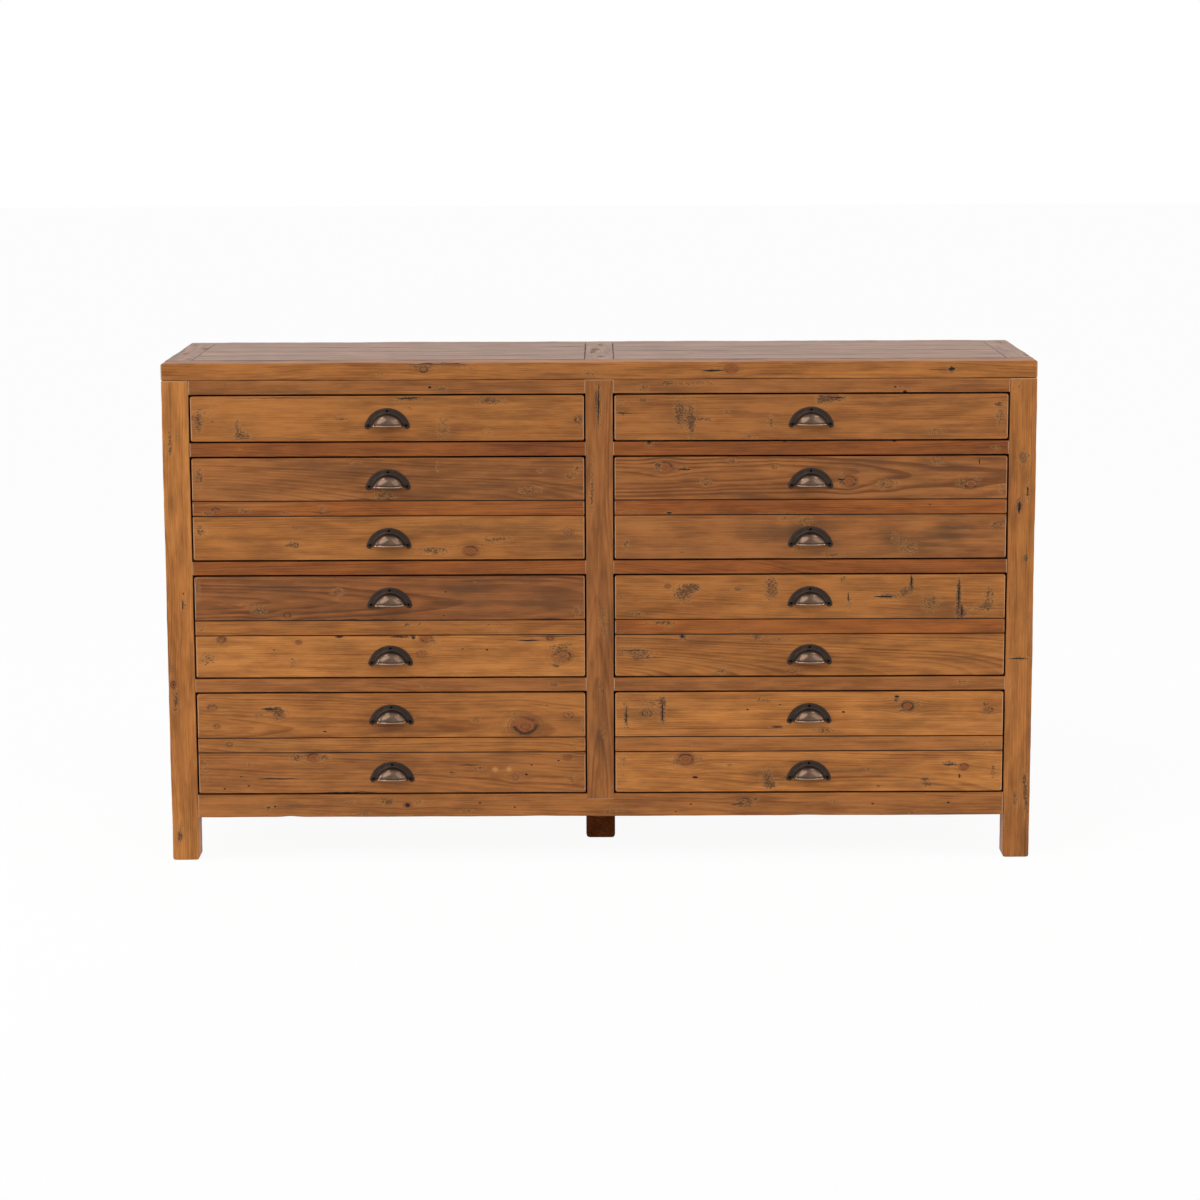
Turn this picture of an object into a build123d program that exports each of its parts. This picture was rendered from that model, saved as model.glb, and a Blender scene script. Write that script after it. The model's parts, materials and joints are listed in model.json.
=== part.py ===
from build123d import *
import os

# Chest of eight drawers in reclaimed pine, with cast cup pulls. Millimetres.
# +X is to the right, the drawer fronts face -Y and +Z is up. The origin is on the floor, under the
# middle of the whole cabinet with its pulls.

# Overall size and the frame's timbers
WIDTH = 1600.0
DEPTH = 465.0  # from the drawer fronts' face to the back boards, without the pulls
LEG = 50.0  # square section of the four corner legs; the front rails and the stile are as deep
STILE_WIDTH = 50.0
FOOT_CLEARANCE = 82.0  # from the floor to the bottom rail
BOTTOM_RAIL = 43.0
MID_RAIL = 25.0
TOP_RAIL = 25.5
TALL_OPENING = 194.5
SMALL_OPENING = 89.0
TALL_ROWS = 3
STILE_HOUSING = 11.0  # how deep the stile is let into the bottom rail
EASE = 1.2  # chamfer along the arrises that hands and eyes meet

# Top
TOP_THICKNESS = 32.0
TOP_FRONT_BOARD = 60.0
TOP_BACK_BOARD = 40.0
TOP_END_BOARD = 50.0
TOP_CROSS_BOARD = 54.0
TOP_PLANK_THICKNESS = 20.0
TOP_PLANKS = 4  # in each of the two fields
TOP_EASE = 2.5
PLANK_GAP = 0.5  # open joint between neighbouring boards
BATTEN_WIDTH = 60.0
BATTENS_PER_FIELD = 2

# Sides, back and the parts inside
SIDE_RAIL_THICKNESS = 22.0
SIDE_TOP_RAIL = 60.0
SIDE_SETBACK = 4.0  # of the side rails behind the legs' outer faces
PANEL_THICKNESS = 12.0
SIDE_BOARDS = 4
BACK_BOARD_THICKNESS = 10.0
BACK_BOARDS = 10
BACK_RAIL_THICKNESS = 25.0
BACK_TOP_RAIL = 50.0
PARTITION_THICKNESS = 18.0
FOOT_WIDTH = 56.0
FOOT_DEPTH = 128.0
FOOT_ROUND = 8.0

# Drawers
FRONT_GAP = 3.0  # all round each drawer front
FRONT_BOARD_THICKNESS = 20.0
FRONT_CORNER = 4.0  # radius of a front's four corners
FRONT_EASE = 1.5
UPPER_BOARDS = (79.0, 82.0, 83.5)  # heights of the upper boards, from the second row down
STRIP = 27.5
BOX_WALL = 13.0
BOX_FRONT_WALL = 12.0
BOX_INSET = 1.0  # of the box's sides from the ends of its front
BOX_TOP_GAP = 8.0  # from the box's sides to the top of its opening
BOX_BACK_DROP = 6.0  # the back's top edge is lower than the sides'
BOTTOM_THICKNESS = 6.0
BOTTOM_HEIGHT = 10.0  # from the sides' lower edges to the bottom panel
GROOVE_DEPTH = 6.0
GROOVE_PLAY = 0.2
DRAWER_BACK_GAP = 12.0
RUNNING_GAP = 0.3  # between a drawer's sides and its runners
GUIDE_GAP = 1.0
RUNNER_REACH = 22.0  # how far a runner reaches in under a drawer from its guide
GUIDE_HEIGHT = 16.0
STOP_WIDTH = 30.0
STOP_DEPTH = 12.0
STOP_HEIGHT = 8.0

# Cup pulls
PULL_WIDTH = 83.0
PULL_HEIGHT = 38.0
PULL_PROJECTION = 22.0
PULL_INSET = 40.0  # from a tall front's top or bottom edge to the middle of the pull
PLATE = 2.0
CUP_WIDTH = 61.0
CUP_HEIGHT = 22.0
CUP_WALL = 1.8
CUP_SHOULDER = 13.0  # radius of the cup's plan where its front turns into its side
LIP_RISE = 6.5  # from the ends of the plate's feet to the cup's open edge
LIP_RADIUS = 1.4
SCREW_SPREAD = 35.0  # of the two lower screws from the middle
TOP_SCREW_DROP = 4.9
FOOT_SCREW_RISE = 6.4
SCREW_RADIUS = 1.3
SCREW_SIDES = 6  # the screws, their holes and the rolled lip are drawn with this many flats
SCREW_HEAD_RADIUS = 2.3
SCREW_HEAD_DEPTH = 1.2
SCREW_HEAD_TAPER = 25.0  # degrees
SCREW_LENGTH = 15.0  # under the head
SCREW_PLAY = 0.12

# Worked out from the above
ROWS = TALL_ROWS + 1
FRONT_Y = (PULL_PROJECTION - DEPTH) / 2
BACK_Y = FRONT_Y + DEPTH
FRAME_BACK_Y = FRONT_Y + LEG  # the rear faces of the front legs, rails and stile
REAR_LEG_Y = BACK_Y - LEG
BACK_RAIL_Y = BACK_Y - BACK_BOARD_THICKNESS - BACK_RAIL_THICKNESS
LEG_INNER_X = WIDTH / 2 - LEG
STILE_X = STILE_WIDTH / 2
BOTTOM_RAIL_TOP = FOOT_CLEARANCE + BOTTOM_RAIL
ROW_PITCH = TALL_OPENING + MID_RAIL
FRAME_TOP = BOTTOM_RAIL_TOP + TALL_ROWS * ROW_PITCH + SMALL_OPENING + TOP_RAIL
HEIGHT = FRAME_TOP + TOP_THICKNESS
SIDE_RAIL_OUTER_X = WIDTH / 2 - SIDE_SETBACK
SIDE_RAIL_INNER_X = SIDE_RAIL_OUTER_X - SIDE_RAIL_THICKNESS
FRONT_X = (STILE_X + FRONT_GAP, LEG_INNER_X - FRONT_GAP)
BOX_X = (FRONT_X[0] + BOX_INSET, FRONT_X[1] - BOX_INSET)
GUIDE_X = (BOX_X[0] - GUIDE_GAP, BOX_X[1] + GUIDE_GAP)
BOX_FRONT_Y = FRONT_Y + FRONT_BOARD_THICKNESS
BOX_BACK_Y = BACK_RAIL_Y - DRAWER_BACK_GAP
DRAWER_MID_X = (FRONT_X[0] + FRONT_X[1]) / 2
SIDES = {"left": -1, "right": 1}


def opening_floor(row):
    """Height of the rail under a drawer. Row 1 is the shallow one at the top."""
    return BOTTOM_RAIL_TOP + (ROWS - row) * ROW_PITCH


def opening_height(row):
    return SMALL_OPENING if row == 1 else TALL_OPENING


def block(x, y, z):
    """Square-edged timber between the two ends given for each direction."""
    return Pos(sum(x) / 2, sum(y) / 2, sum(z) / 2) * Box(abs(x[1] - x[0]), y[1] - y[0], z[1] - z[0])


def eased(timber, ease=EASE):
    return chamfer(timber.edges(), ease)


def both_sides(side, pair):
    """A pair of x values of the right column, moved to the column on the given side."""
    return (side * pair[0], side * pair[1])


def split_evenly(low, high, count, gap):
    """The ends of equal boards laid side by side from low to high."""
    width = (high - low - (count - 1) * gap) / count
    return [(low + i * (width + gap), low + i * (width + gap) + width) for i in range(count)]


# The frame


def leg(side, y):
    return eased(block(both_sides(side, (LEG_INNER_X, WIDTH / 2)), y, (0, FRAME_TOP)))


def centre_stile():
    return eased(
        block((-STILE_X, STILE_X), (FRONT_Y, FRAME_BACK_Y), (BOTTOM_RAIL_TOP - STILE_HOUSING, FRAME_TOP))
    )


def front_rails():
    """The top rails and the mid rails, each between a leg and the stile."""
    rails = []
    for side in SIDES.values():
        x = both_sides(side, (STILE_X, LEG_INNER_X))
        rails.append(eased(block(x, (FRONT_Y, FRAME_BACK_Y), (FRAME_TOP - TOP_RAIL, FRAME_TOP))))
        for row in range(1, ROWS):
            z = (opening_floor(row) - MID_RAIL, opening_floor(row))
            rails.append(eased(block(x, (FRONT_Y, FRAME_BACK_Y), z)))
    return rails


def front_bottom_rail():
    y = (FRONT_Y, FRAME_BACK_Y)
    rail = eased(block((-LEG_INNER_X, LEG_INNER_X), y, (FOOT_CLEARANCE, BOTTOM_RAIL_TOP)))
    return rail - block((-STILE_X, STILE_X), y, (BOTTOM_RAIL_TOP - STILE_HOUSING, BOTTOM_RAIL_TOP))


def side_rails():
    rails = []
    for side in SIDES.values():
        x = both_sides(side, (SIDE_RAIL_INNER_X, SIDE_RAIL_OUTER_X))
        for z in ((FRAME_TOP - SIDE_TOP_RAIL, FRAME_TOP), (FOOT_CLEARANCE, BOTTOM_RAIL_TOP)):
            rails.append(eased(block(x, (FRAME_BACK_Y, REAR_LEG_Y), z)))
    return rails


def side_panel(side):
    """Upright boards between the side rails, in the middle of their thickness."""
    inner = (SIDE_RAIL_INNER_X + SIDE_RAIL_OUTER_X - PANEL_THICKNESS) / 2
    x = both_sides(side, (inner, inner + PANEL_THICKNESS))
    z = (BOTTOM_RAIL_TOP, FRAME_TOP - SIDE_TOP_RAIL)
    return [eased(block(x, y, z)) for y in split_evenly(FRAME_BACK_Y, REAR_LEG_Y, SIDE_BOARDS, PLANK_GAP)]


def back_rails():
    x = (-LEG_INNER_X, LEG_INNER_X)
    y = (BACK_RAIL_Y, BACK_Y - BACK_BOARD_THICKNESS)
    return [
        block(x, y, (FRAME_TOP - BACK_TOP_RAIL, FRAME_TOP)),
        block(x, y, (FOOT_CLEARANCE, BOTTOM_RAIL_TOP)),
    ]


def back_boards():
    y = (BACK_Y - BACK_BOARD_THICKNESS, BACK_Y)
    z = (FOOT_CLEARANCE, FRAME_TOP)
    return [block(x, y, z) for x in split_evenly(-LEG_INNER_X, LEG_INNER_X, BACK_BOARDS, PLANK_GAP)]


def centre_partition():
    half = PARTITION_THICKNESS / 2
    return block((-half, half), (FRAME_BACK_Y, BACK_RAIL_Y), (BOTTOM_RAIL_TOP, FRAME_TOP))


def centre_bearer():
    half = FOOT_WIDTH / 2
    return block((-half, half), (FRAME_BACK_Y, BACK_RAIL_Y), (FOOT_CLEARANCE, BOTTOM_RAIL_TOP))


def centre_foot():
    """Block under the bearer, with worn lower corners."""
    middle = (FRONT_Y + BACK_Y) / 2
    foot = block(
        (-FOOT_WIDTH / 2, FOOT_WIDTH / 2),
        (middle - FOOT_DEPTH / 2, middle + FOOT_DEPTH / 2),
        (0, FOOT_CLEARANCE),
    )
    return fillet(foot.faces().sort_by(Axis.Z)[0].edges(), FOOT_ROUND)


# The top


def top_frame():
    """Front and back boards the full width, with end boards and a cross board between them."""
    z = (FRAME_TOP, HEIGHT)
    ends = (FRONT_Y + TOP_FRONT_BOARD, BACK_Y - TOP_BACK_BOARD)
    boards = [
        block((-WIDTH / 2, WIDTH / 2), (FRONT_Y, ends[0]), z),
        block((-WIDTH / 2, WIDTH / 2), (ends[1], BACK_Y), z),
    ]
    for side in SIDES.values():
        boards.append(block(both_sides(side, (WIDTH / 2 - TOP_END_BOARD, WIDTH / 2)), ends, z))
    cross_board = block((-TOP_CROSS_BOARD / 2, TOP_CROSS_BOARD / 2), ends, z)
    return [ease_rim(board) for board in boards] + [cross_board]


def ease_rim(board):
    """Takes off a top board's arrises on the outline of the whole top, except along its underside."""
    above = FRAME_TOP + TOP_THICKNESS / 4
    rim = [edge for edge in board.edges() if on_rim(edge.center()) and edge.center().Z > above]
    return chamfer(rim, TOP_EASE)


def on_rim(point):
    """Whether a point of the top lies on the outline of the whole top."""
    margin = 0.01
    at_side = abs(point.X) > WIDTH / 2 - margin
    return at_side or point.Y < FRONT_Y + margin or point.Y > BACK_Y - margin


def top_planks():
    """Planks laid lengthwise in the two fields of the frame, level with it."""
    planks = []
    z = (HEIGHT - TOP_PLANK_THICKNESS, HEIGHT)
    across = split_evenly(FRONT_Y + TOP_FRONT_BOARD, BACK_Y - TOP_BACK_BOARD, TOP_PLANKS, PLANK_GAP)
    for side in SIDES.values():
        x = both_sides(side, (TOP_CROSS_BOARD / 2, WIDTH / 2 - TOP_END_BOARD))
        planks += [eased(block(x, y, z), PLANK_GAP) for y in across]
    return planks


def top_battens():
    """Battens under the planks, as thick as the frame is thicker."""
    battens = []
    y = (FRONT_Y + TOP_FRONT_BOARD, BACK_Y - TOP_BACK_BOARD)
    z = (FRAME_TOP, HEIGHT - TOP_PLANK_THICKNESS)
    low, high = TOP_CROSS_BOARD / 2, WIDTH / 2 - TOP_END_BOARD
    step = (high - low) / BATTENS_PER_FIELD
    for side in SIDES.values():
        for i in range(BATTENS_PER_FIELD):
            middle = low + (i + 0.5) * step
            x = both_sides(side, (middle - BATTEN_WIDTH / 2, middle + BATTEN_WIDTH / 2))
            battens.append(block(x, y, z))
    return battens


# What carries the drawers


def drawer_runners():
    """Runners level with the rails, guides on them beside the drawers, and kickers over the top row."""
    bars = []
    between_legs = (FRAME_BACK_Y, REAR_LEG_Y)
    behind_stile = (FRAME_BACK_Y, BACK_RAIL_Y)
    outer = (GUIDE_X[1] - RUNNER_REACH, SIDE_RAIL_INNER_X)
    inner_guide = (PARTITION_THICKNESS / 2, GUIDE_X[0])
    outer_guide = (GUIDE_X[1], SIDE_RAIL_INNER_X)
    for side in SIDES.values():
        for row in range(1, ROWS + 1):
            floor = opening_floor(row)
            under = (floor - MID_RAIL, floor)
            carrier = FOOT_WIDTH if row == ROWS else PARTITION_THICKNESS
            inner = (carrier / 2, GUIDE_X[0] + RUNNER_REACH)
            beside = (floor, floor + GUIDE_HEIGHT)
            bars.append(block(both_sides(side, inner), behind_stile, under))
            bars.append(block(both_sides(side, outer), between_legs, under))
            bars.append(block(both_sides(side, inner_guide), behind_stile, beside))
            bars.append(block(both_sides(side, outer_guide), between_legs, beside))
        kicker = (FRAME_TOP - TOP_RAIL, FRAME_TOP)
        inner_kicker = (PARTITION_THICKNESS / 2, GUIDE_X[0] + RUNNER_REACH)
        bars.append(block(both_sides(side, inner_kicker), behind_stile, kicker))
        bars.append(block(both_sides(side, outer), between_legs, kicker))
    return bars


def drawer_stops():
    """Two small blocks on each rail, just behind the drawer's inner front wall."""
    stops = []
    start = BOX_FRONT_Y + BOX_FRONT_WALL + RUNNING_GAP
    quarter = (FRONT_X[1] - FRONT_X[0]) / 4
    for side in SIDES.values():
        for row in range(1, ROWS + 1):
            floor = opening_floor(row)
            for middle in (DRAWER_MID_X - quarter, DRAWER_MID_X + quarter):
                x = both_sides(side, (middle - STOP_WIDTH / 2, middle + STOP_WIDTH / 2))
                stops.append(block(x, (start, start + STOP_DEPTH), (floor, floor + STOP_HEIGHT)))
    return stops


# One drawer


def front_levels(row):
    """The lower and upper ends of each board of a drawer's front, from the bottom up."""
    low = opening_floor(row) + FRONT_GAP
    high = low + opening_height(row) - 2 * FRONT_GAP
    if row == 1:
        return [(low, high)]
    upper = high - UPPER_BOARDS[row - 2]
    strip = upper - PLANK_GAP - STRIP
    return [(low, strip - PLANK_GAP), (strip, strip + STRIP), (upper, high)]


def pull_levels(row):
    """Heights of the middles of a drawer's pulls."""
    boards = front_levels(row)
    low, high = boards[0][0], boards[-1][1]
    if row == 1:
        return [(low + high) / 2]
    return [low + PULL_INSET, high - PULL_INSET]


def screws_of_pull(foot):
    """The x offset and height of a pull's three screws, from the height of its plate's feet."""
    low = foot + FOOT_SCREW_RISE
    return [(0, foot + PULL_HEIGHT - TOP_SCREW_DROP), (-SCREW_SPREAD, low), (SCREW_SPREAD, low)]


def screw_places(row):
    """The x offset from the drawer's middle and the height of each screw of its pulls."""
    return [place for level in pull_levels(row) for place in screws_of_pull(level - PULL_HEIGHT / 2)]


def drawer_front(side, row):
    """Boards edge to edge, with the front's outer corners rounded and holes for the pulls' screws."""
    x = both_sides(side, FRONT_X)
    levels = front_levels(row)
    boards = []
    for low, high in levels:
        board = block(x, (FRONT_Y, BOX_FRONT_Y), (low, high))
        ends = board.edges().filter_by(Axis.Y).group_by(Axis.Z)
        corners = []
        if low == levels[0][0]:
            corners += ends[0]
        if high == levels[-1][1]:
            corners += ends[-1]
        if corners:
            board = fillet(corners, FRONT_CORNER)
        face = board.faces().sort_by(Axis.Y)[0]
        rim = [edge for edge in face.edges() if is_outer_edge(edge, levels)]
        board = chamfer(rim, FRONT_EASE)
        for dx, z in screw_places(row):
            if low < z < high:
                board -= Pos(side * DRAWER_MID_X + dx, FRONT_Y, z) * screw_bore(SCREW_LENGTH)
        boards.append(board)
    return boards


def is_outer_edge(edge, levels):
    """Whether an edge of a front board's face lies on the outline of the whole front."""
    z = edge.center().Z
    lengthwise = abs(edge.tangent_at(0.5).X) > 0.99
    return not lengthwise or z < levels[0][0] + 0.01 or z > levels[-1][1] - 0.01


def box_levels(row):
    """Lower and upper edges of a drawer box's sides, and the underside of its bottom panel."""
    low = opening_floor(row) + RUNNING_GAP
    high = opening_floor(row) + opening_height(row) - BOX_TOP_GAP
    return low, high, low + BOTTOM_HEIGHT


def drawer_box(side, row):
    """Two sides and an inner front wall, grooved for the bottom panel, and a back that stands on it."""
    low, high, panel = box_levels(row)
    inside = (BOX_X[0] + BOX_WALL, BOX_X[1] - BOX_WALL)
    groove = block(
        both_sides(side, (inside[0] - GROOVE_DEPTH, inside[1] + GROOVE_DEPTH)),
        (BOX_FRONT_Y + BOX_FRONT_WALL - GROOVE_DEPTH, BOX_BACK_Y),
        (panel - GROOVE_PLAY, panel + BOTTOM_THICKNESS + GROOVE_PLAY),
    )
    length = (BOX_FRONT_Y, BOX_BACK_Y)
    near = block(both_sides(side, (BOX_X[0], inside[0])), length, (low, high)) - groove
    far = block(both_sides(side, (inside[1], BOX_X[1])), length, (low, high)) - groove
    wall = block(both_sides(side, inside), (BOX_FRONT_Y, BOX_FRONT_Y + BOX_FRONT_WALL), (low, high))
    back = block(
        both_sides(side, inside),
        (BOX_BACK_Y - BOX_WALL, BOX_BACK_Y),
        (panel + BOTTOM_THICKNESS + GROOVE_PLAY, high - BOX_BACK_DROP),
    )
    return [near, far, wall - groove, back]


def drawer_bottom(side, row):
    panel = box_levels(row)[2]
    reach = GROOVE_DEPTH - GROOVE_PLAY
    x = both_sides(side, (BOX_X[0] + BOX_WALL - reach, BOX_X[1] - BOX_WALL + reach))
    return block(x, (BOX_FRONT_Y + BOX_FRONT_WALL - reach, BOX_BACK_Y), (panel, panel + BOTTOM_THICKNESS))


# Cup pull. Its own origin is on the drawer's front, in the middle of the cup's open edge.


def arch_radius(width, height):
    """Radius of the arc that spans a width and rises to a height."""
    return ((width / 2) ** 2 + height**2) / (2 * height)


def cup_plan(radius, depth, shoulder):
    """Half the cup's plan from its crown to its side: a flat crown arc, then a tight shoulder arc."""
    across = radius - shoulder
    crown = (across**2 + depth**2 - shoulder**2) / (2 * (depth - shoulder))
    reach = crown - shoulder
    turn = (across + shoulder * across / reach, -shoulder * (crown - depth) / reach)
    front = RadiusArc((0, -depth), turn, -crown)
    side = RadiusArc(turn, (radius, 0), -shoulder)
    return front, side


def cup_body(inset):
    """Solid bulge as large as the cup, less an inset all round, cut off level at the mouth."""
    arch = arch_radius(CUP_WIDTH, CUP_HEIGHT)
    radius = arch - inset
    depth = PULL_PROJECTION - inset
    front, side = cup_plan(radius, depth, CUP_SHOULDER - inset)
    plan = make_face([front, side, Line((radius, 0), (0, 0)), Line((0, 0), (0, -depth))])
    turned = Pos(0, 0, CUP_HEIGHT - arch) * revolve(plan, axis=Axis.Y)
    half = PULL_WIDTH / 2
    return turned & block((-half, half), (-PULL_PROJECTION - 1, 1), (0, PULL_WIDTH))


def lip_bead():
    """The rolled edge round the cup's mouth."""
    radius = (CUP_WIDTH - CUP_WALL) / 2
    front, side = cup_plan(radius, PULL_PROJECTION - LIP_RADIUS, CUP_SHOULDER)
    half = [front, side]
    path = Wire([edge for part in half for edge in part.edges()])
    start = Plane(origin=(0, LIP_RADIUS - PULL_PROJECTION, 0), z_dir=(1, 0, 0))
    bead = sweep(start * RegularPolygon(LIP_RADIUS, SCREW_SIDES), path=path)
    return bead + mirror(bead, Plane.YZ)


def pull_plate():
    """Arched plate with two rounded feet, open where the fingers go in."""
    foot_radius = (PULL_WIDTH - CUP_WIDTH) / 4
    foot_x = PULL_WIDTH / 2 - foot_radius
    foot_z = foot_radius - LIP_RISE
    rise = PULL_HEIGHT - foot_radius
    arch = arch_radius(PULL_WIDTH, rise)
    inner = arch_radius(CUP_WIDTH, CUP_HEIGHT) - CUP_WALL / 2
    inner_z = CUP_HEIGHT - CUP_WALL / 2 - inner
    above_feet = Pos(0, foot_z + PULL_HEIGHT / 2) * Rectangle(PULL_WIDTH, PULL_HEIGHT)
    outer = (Pos(0, foot_z + rise - arch) * Circle(arch)) & above_feet
    feet = Pos(-foot_x, foot_z) * Circle(foot_radius) + Pos(foot_x, foot_z) * Circle(foot_radius)
    mouth = Pos(0, inner_z) * Circle(inner)
    gap_x = foot_x - foot_radius
    between_feet = Pos(0, -PULL_HEIGHT / 2) * Rectangle(2 * gap_x, PULL_HEIGHT)
    above_mouth = Pos(0, PULL_HEIGHT / 2) * Rectangle(PULL_WIDTH, PULL_HEIGHT)
    outline = outer + feet - (mouth & above_mouth) - between_feet
    return extrude(Plane.XZ * outline, PLATE)


def screw_bore(depth):
    """Clearance hole for a screw, from in front of the drawer's face to a depth behind it."""
    outline = Plane.XZ * RegularPolygon(SCREW_RADIUS + SCREW_PLAY, SCREW_SIDES)
    return extrude(outline, amount=2 * PLATE) + extrude(outline, amount=-depth)


def cup_pull():
    cup = cup_body(0) - cup_body(CUP_WALL)
    pull = cup + pull_plate() + lip_bead()
    for x, z in screws_of_pull(-LIP_RISE):
        pull -= Pos(x, 0, z) * screw_bore(PLATE)
    return pull


def pull_screw():
    """Round-headed screw along Y, with the underside of its head at the origin. Its thread is left off."""
    head = Plane.XZ * RegularPolygon(SCREW_HEAD_RADIUS, SCREW_SIDES)
    shank = Plane.XZ * RegularPolygon(SCREW_RADIUS, SCREW_SIDES)
    head = extrude(head, amount=SCREW_HEAD_DEPTH, taper=SCREW_HEAD_TAPER)
    return head + extrude(shank, amount=-SCREW_LENGTH)


def drawer_pulls(pull, side, row):
    places = [level - PULL_HEIGHT / 2 + LIP_RISE for level in pull_levels(row)]
    return [Pos(side * DRAWER_MID_X, FRONT_Y, z) * pull for z in places]


def drawer_screws(screw, side, row):
    return [Pos(side * DRAWER_MID_X + dx, FRONT_Y - PLATE, z) * screw for dx, z in screw_places(row)]


def cabinet_nodes():
    rear = (REAR_LEG_Y, BACK_Y)
    front = (FRONT_Y, FRAME_BACK_Y)
    nodes = {
        "centre_stile": centre_stile(),
        "front_rails": front_rails(),
        "front_bottom_rail": front_bottom_rail(),
        "side_rails": side_rails(),
        "back_rails": back_rails(),
        "back_boards": back_boards(),
        "centre_partition": centre_partition(),
        "centre_bearer": centre_bearer(),
        "centre_foot": centre_foot(),
        "top_frame": top_frame(),
        "top_planks": top_planks(),
        "top_battens": top_battens(),
        "drawer_runners": drawer_runners(),
        "drawer_stops": drawer_stops(),
    }
    for name, side in SIDES.items():
        nodes[f"leg_front_{name}"] = leg(side, front)
        nodes[f"leg_rear_{name}"] = leg(side, rear)
        nodes[f"side_panel_{name}"] = side_panel(side)
    return nodes


def drawer_nodes():
    nodes = {}
    pull = cup_pull()
    screw = pull_screw()
    for name, side in SIDES.items():
        for row in range(1, ROWS + 1):
            drawer = f"drawer_{name}_{row}"
            nodes[f"{drawer}_front"] = drawer_front(side, row)
            nodes[f"{drawer}_box"] = drawer_box(side, row)
            nodes[f"{drawer}_bottom"] = drawer_bottom(side, row)
            nodes[f"{drawer}_pulls"] = drawer_pulls(pull, side, row)
            nodes[f"{drawer}_screws"] = drawer_screws(screw, side, row)
    return nodes


os.makedirs("parts", exist_ok=True)
for node, shape in {**cabinet_nodes(), **drawer_nodes()}.items():
    whole = Compound(children=shape) if isinstance(shape, list) else shape
    export_step(whole, f"parts/{node}.step")
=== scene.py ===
import json
import math
from dataclasses import dataclass

import bpy
import numpy as np
from mathutils import Matrix, Vector

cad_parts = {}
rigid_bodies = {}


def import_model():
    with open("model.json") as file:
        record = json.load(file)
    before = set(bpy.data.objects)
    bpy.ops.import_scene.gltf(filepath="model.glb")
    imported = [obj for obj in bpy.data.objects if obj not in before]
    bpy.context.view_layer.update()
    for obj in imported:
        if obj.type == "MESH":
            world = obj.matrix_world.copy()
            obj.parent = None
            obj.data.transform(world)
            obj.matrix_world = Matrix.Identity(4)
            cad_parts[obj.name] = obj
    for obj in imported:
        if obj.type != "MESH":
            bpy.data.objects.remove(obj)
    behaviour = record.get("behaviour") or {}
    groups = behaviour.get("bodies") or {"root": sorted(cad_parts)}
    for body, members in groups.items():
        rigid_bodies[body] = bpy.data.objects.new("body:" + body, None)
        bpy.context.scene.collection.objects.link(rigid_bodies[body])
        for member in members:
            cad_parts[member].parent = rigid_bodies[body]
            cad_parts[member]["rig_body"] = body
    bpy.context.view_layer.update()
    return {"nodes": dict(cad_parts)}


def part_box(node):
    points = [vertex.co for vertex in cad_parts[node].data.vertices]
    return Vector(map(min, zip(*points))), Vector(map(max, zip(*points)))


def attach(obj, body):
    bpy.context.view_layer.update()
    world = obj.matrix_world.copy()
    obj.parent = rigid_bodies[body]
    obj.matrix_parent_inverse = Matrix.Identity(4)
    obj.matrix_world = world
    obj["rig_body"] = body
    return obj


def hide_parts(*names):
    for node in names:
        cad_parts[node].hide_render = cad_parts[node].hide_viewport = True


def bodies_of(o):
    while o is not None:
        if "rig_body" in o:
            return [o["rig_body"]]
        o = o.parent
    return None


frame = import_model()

MM = 0.001
X, Y, Z = 0, 1, 2
SIDES = ("left", "right")
DRAWERS = [(side, row) for side in SIDES for row in range(1, 5)]  # rows from the top down
WELD = 0.01 * MM  # points of a mesh that are nearer than this are one


# ---------------------------------------------------------------- reading the frame


def islands(node):
    """Lowest and highest corners of each separate solid in a CAD node, from the bottom up."""
    mesh = frame["nodes"][node].data
    points = np.empty(len(mesh.vertices) * 3)
    mesh.vertices.foreach_get("co", points)
    points = points.reshape(-1, 3)
    edges = np.empty(len(mesh.edges) * 2, int)
    mesh.edges.foreach_get("vertices", edges)
    edges = edges.reshape(-1, 2)
    welded = np.unique(np.round(points / WELD), axis=0, return_inverse=True)[1].ravel()
    label = np.arange(welded.max() + 1)
    ends = welded[edges]
    while True:
        least = np.minimum(label[ends[:, 0]], label[ends[:, 1]])
        before = label.copy()
        np.minimum.at(label, ends[:, 0], least)
        np.minimum.at(label, ends[:, 1], least)
        label = label[label]
        if (label == before).all():
            break
    group = label[welded]
    boxes = [(points[group == g].min(0), points[group == g].max(0)) for g in np.unique(group)]
    return sorted(boxes, key=lambda b: (round(b[0][Z], 3), round(b[0][X], 3), round(b[0][Y], 3)))


def node_box(node):
    low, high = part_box(node)
    return np.array(low), np.array(high)


def body_of(node):
    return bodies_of(frame["nodes"][node])[0]


# ---------------------------------------------------------------- shader graphs


def linear(value):
    """Linear share of one channel of a colour, from its 0 to 255 value."""
    return ((value / 255 + 0.055) / 1.055) ** 2.4 if value > 10 else value / 255 / 12.92


def srgb(red, green, blue):
    """Linear colour from the 0 to 255 values that a colour picker shows."""
    return linear(red), linear(green), linear(blue)


SWING = 2.8  # noise keeps near its middle, and this spreads it to about -1 to 1


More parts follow.
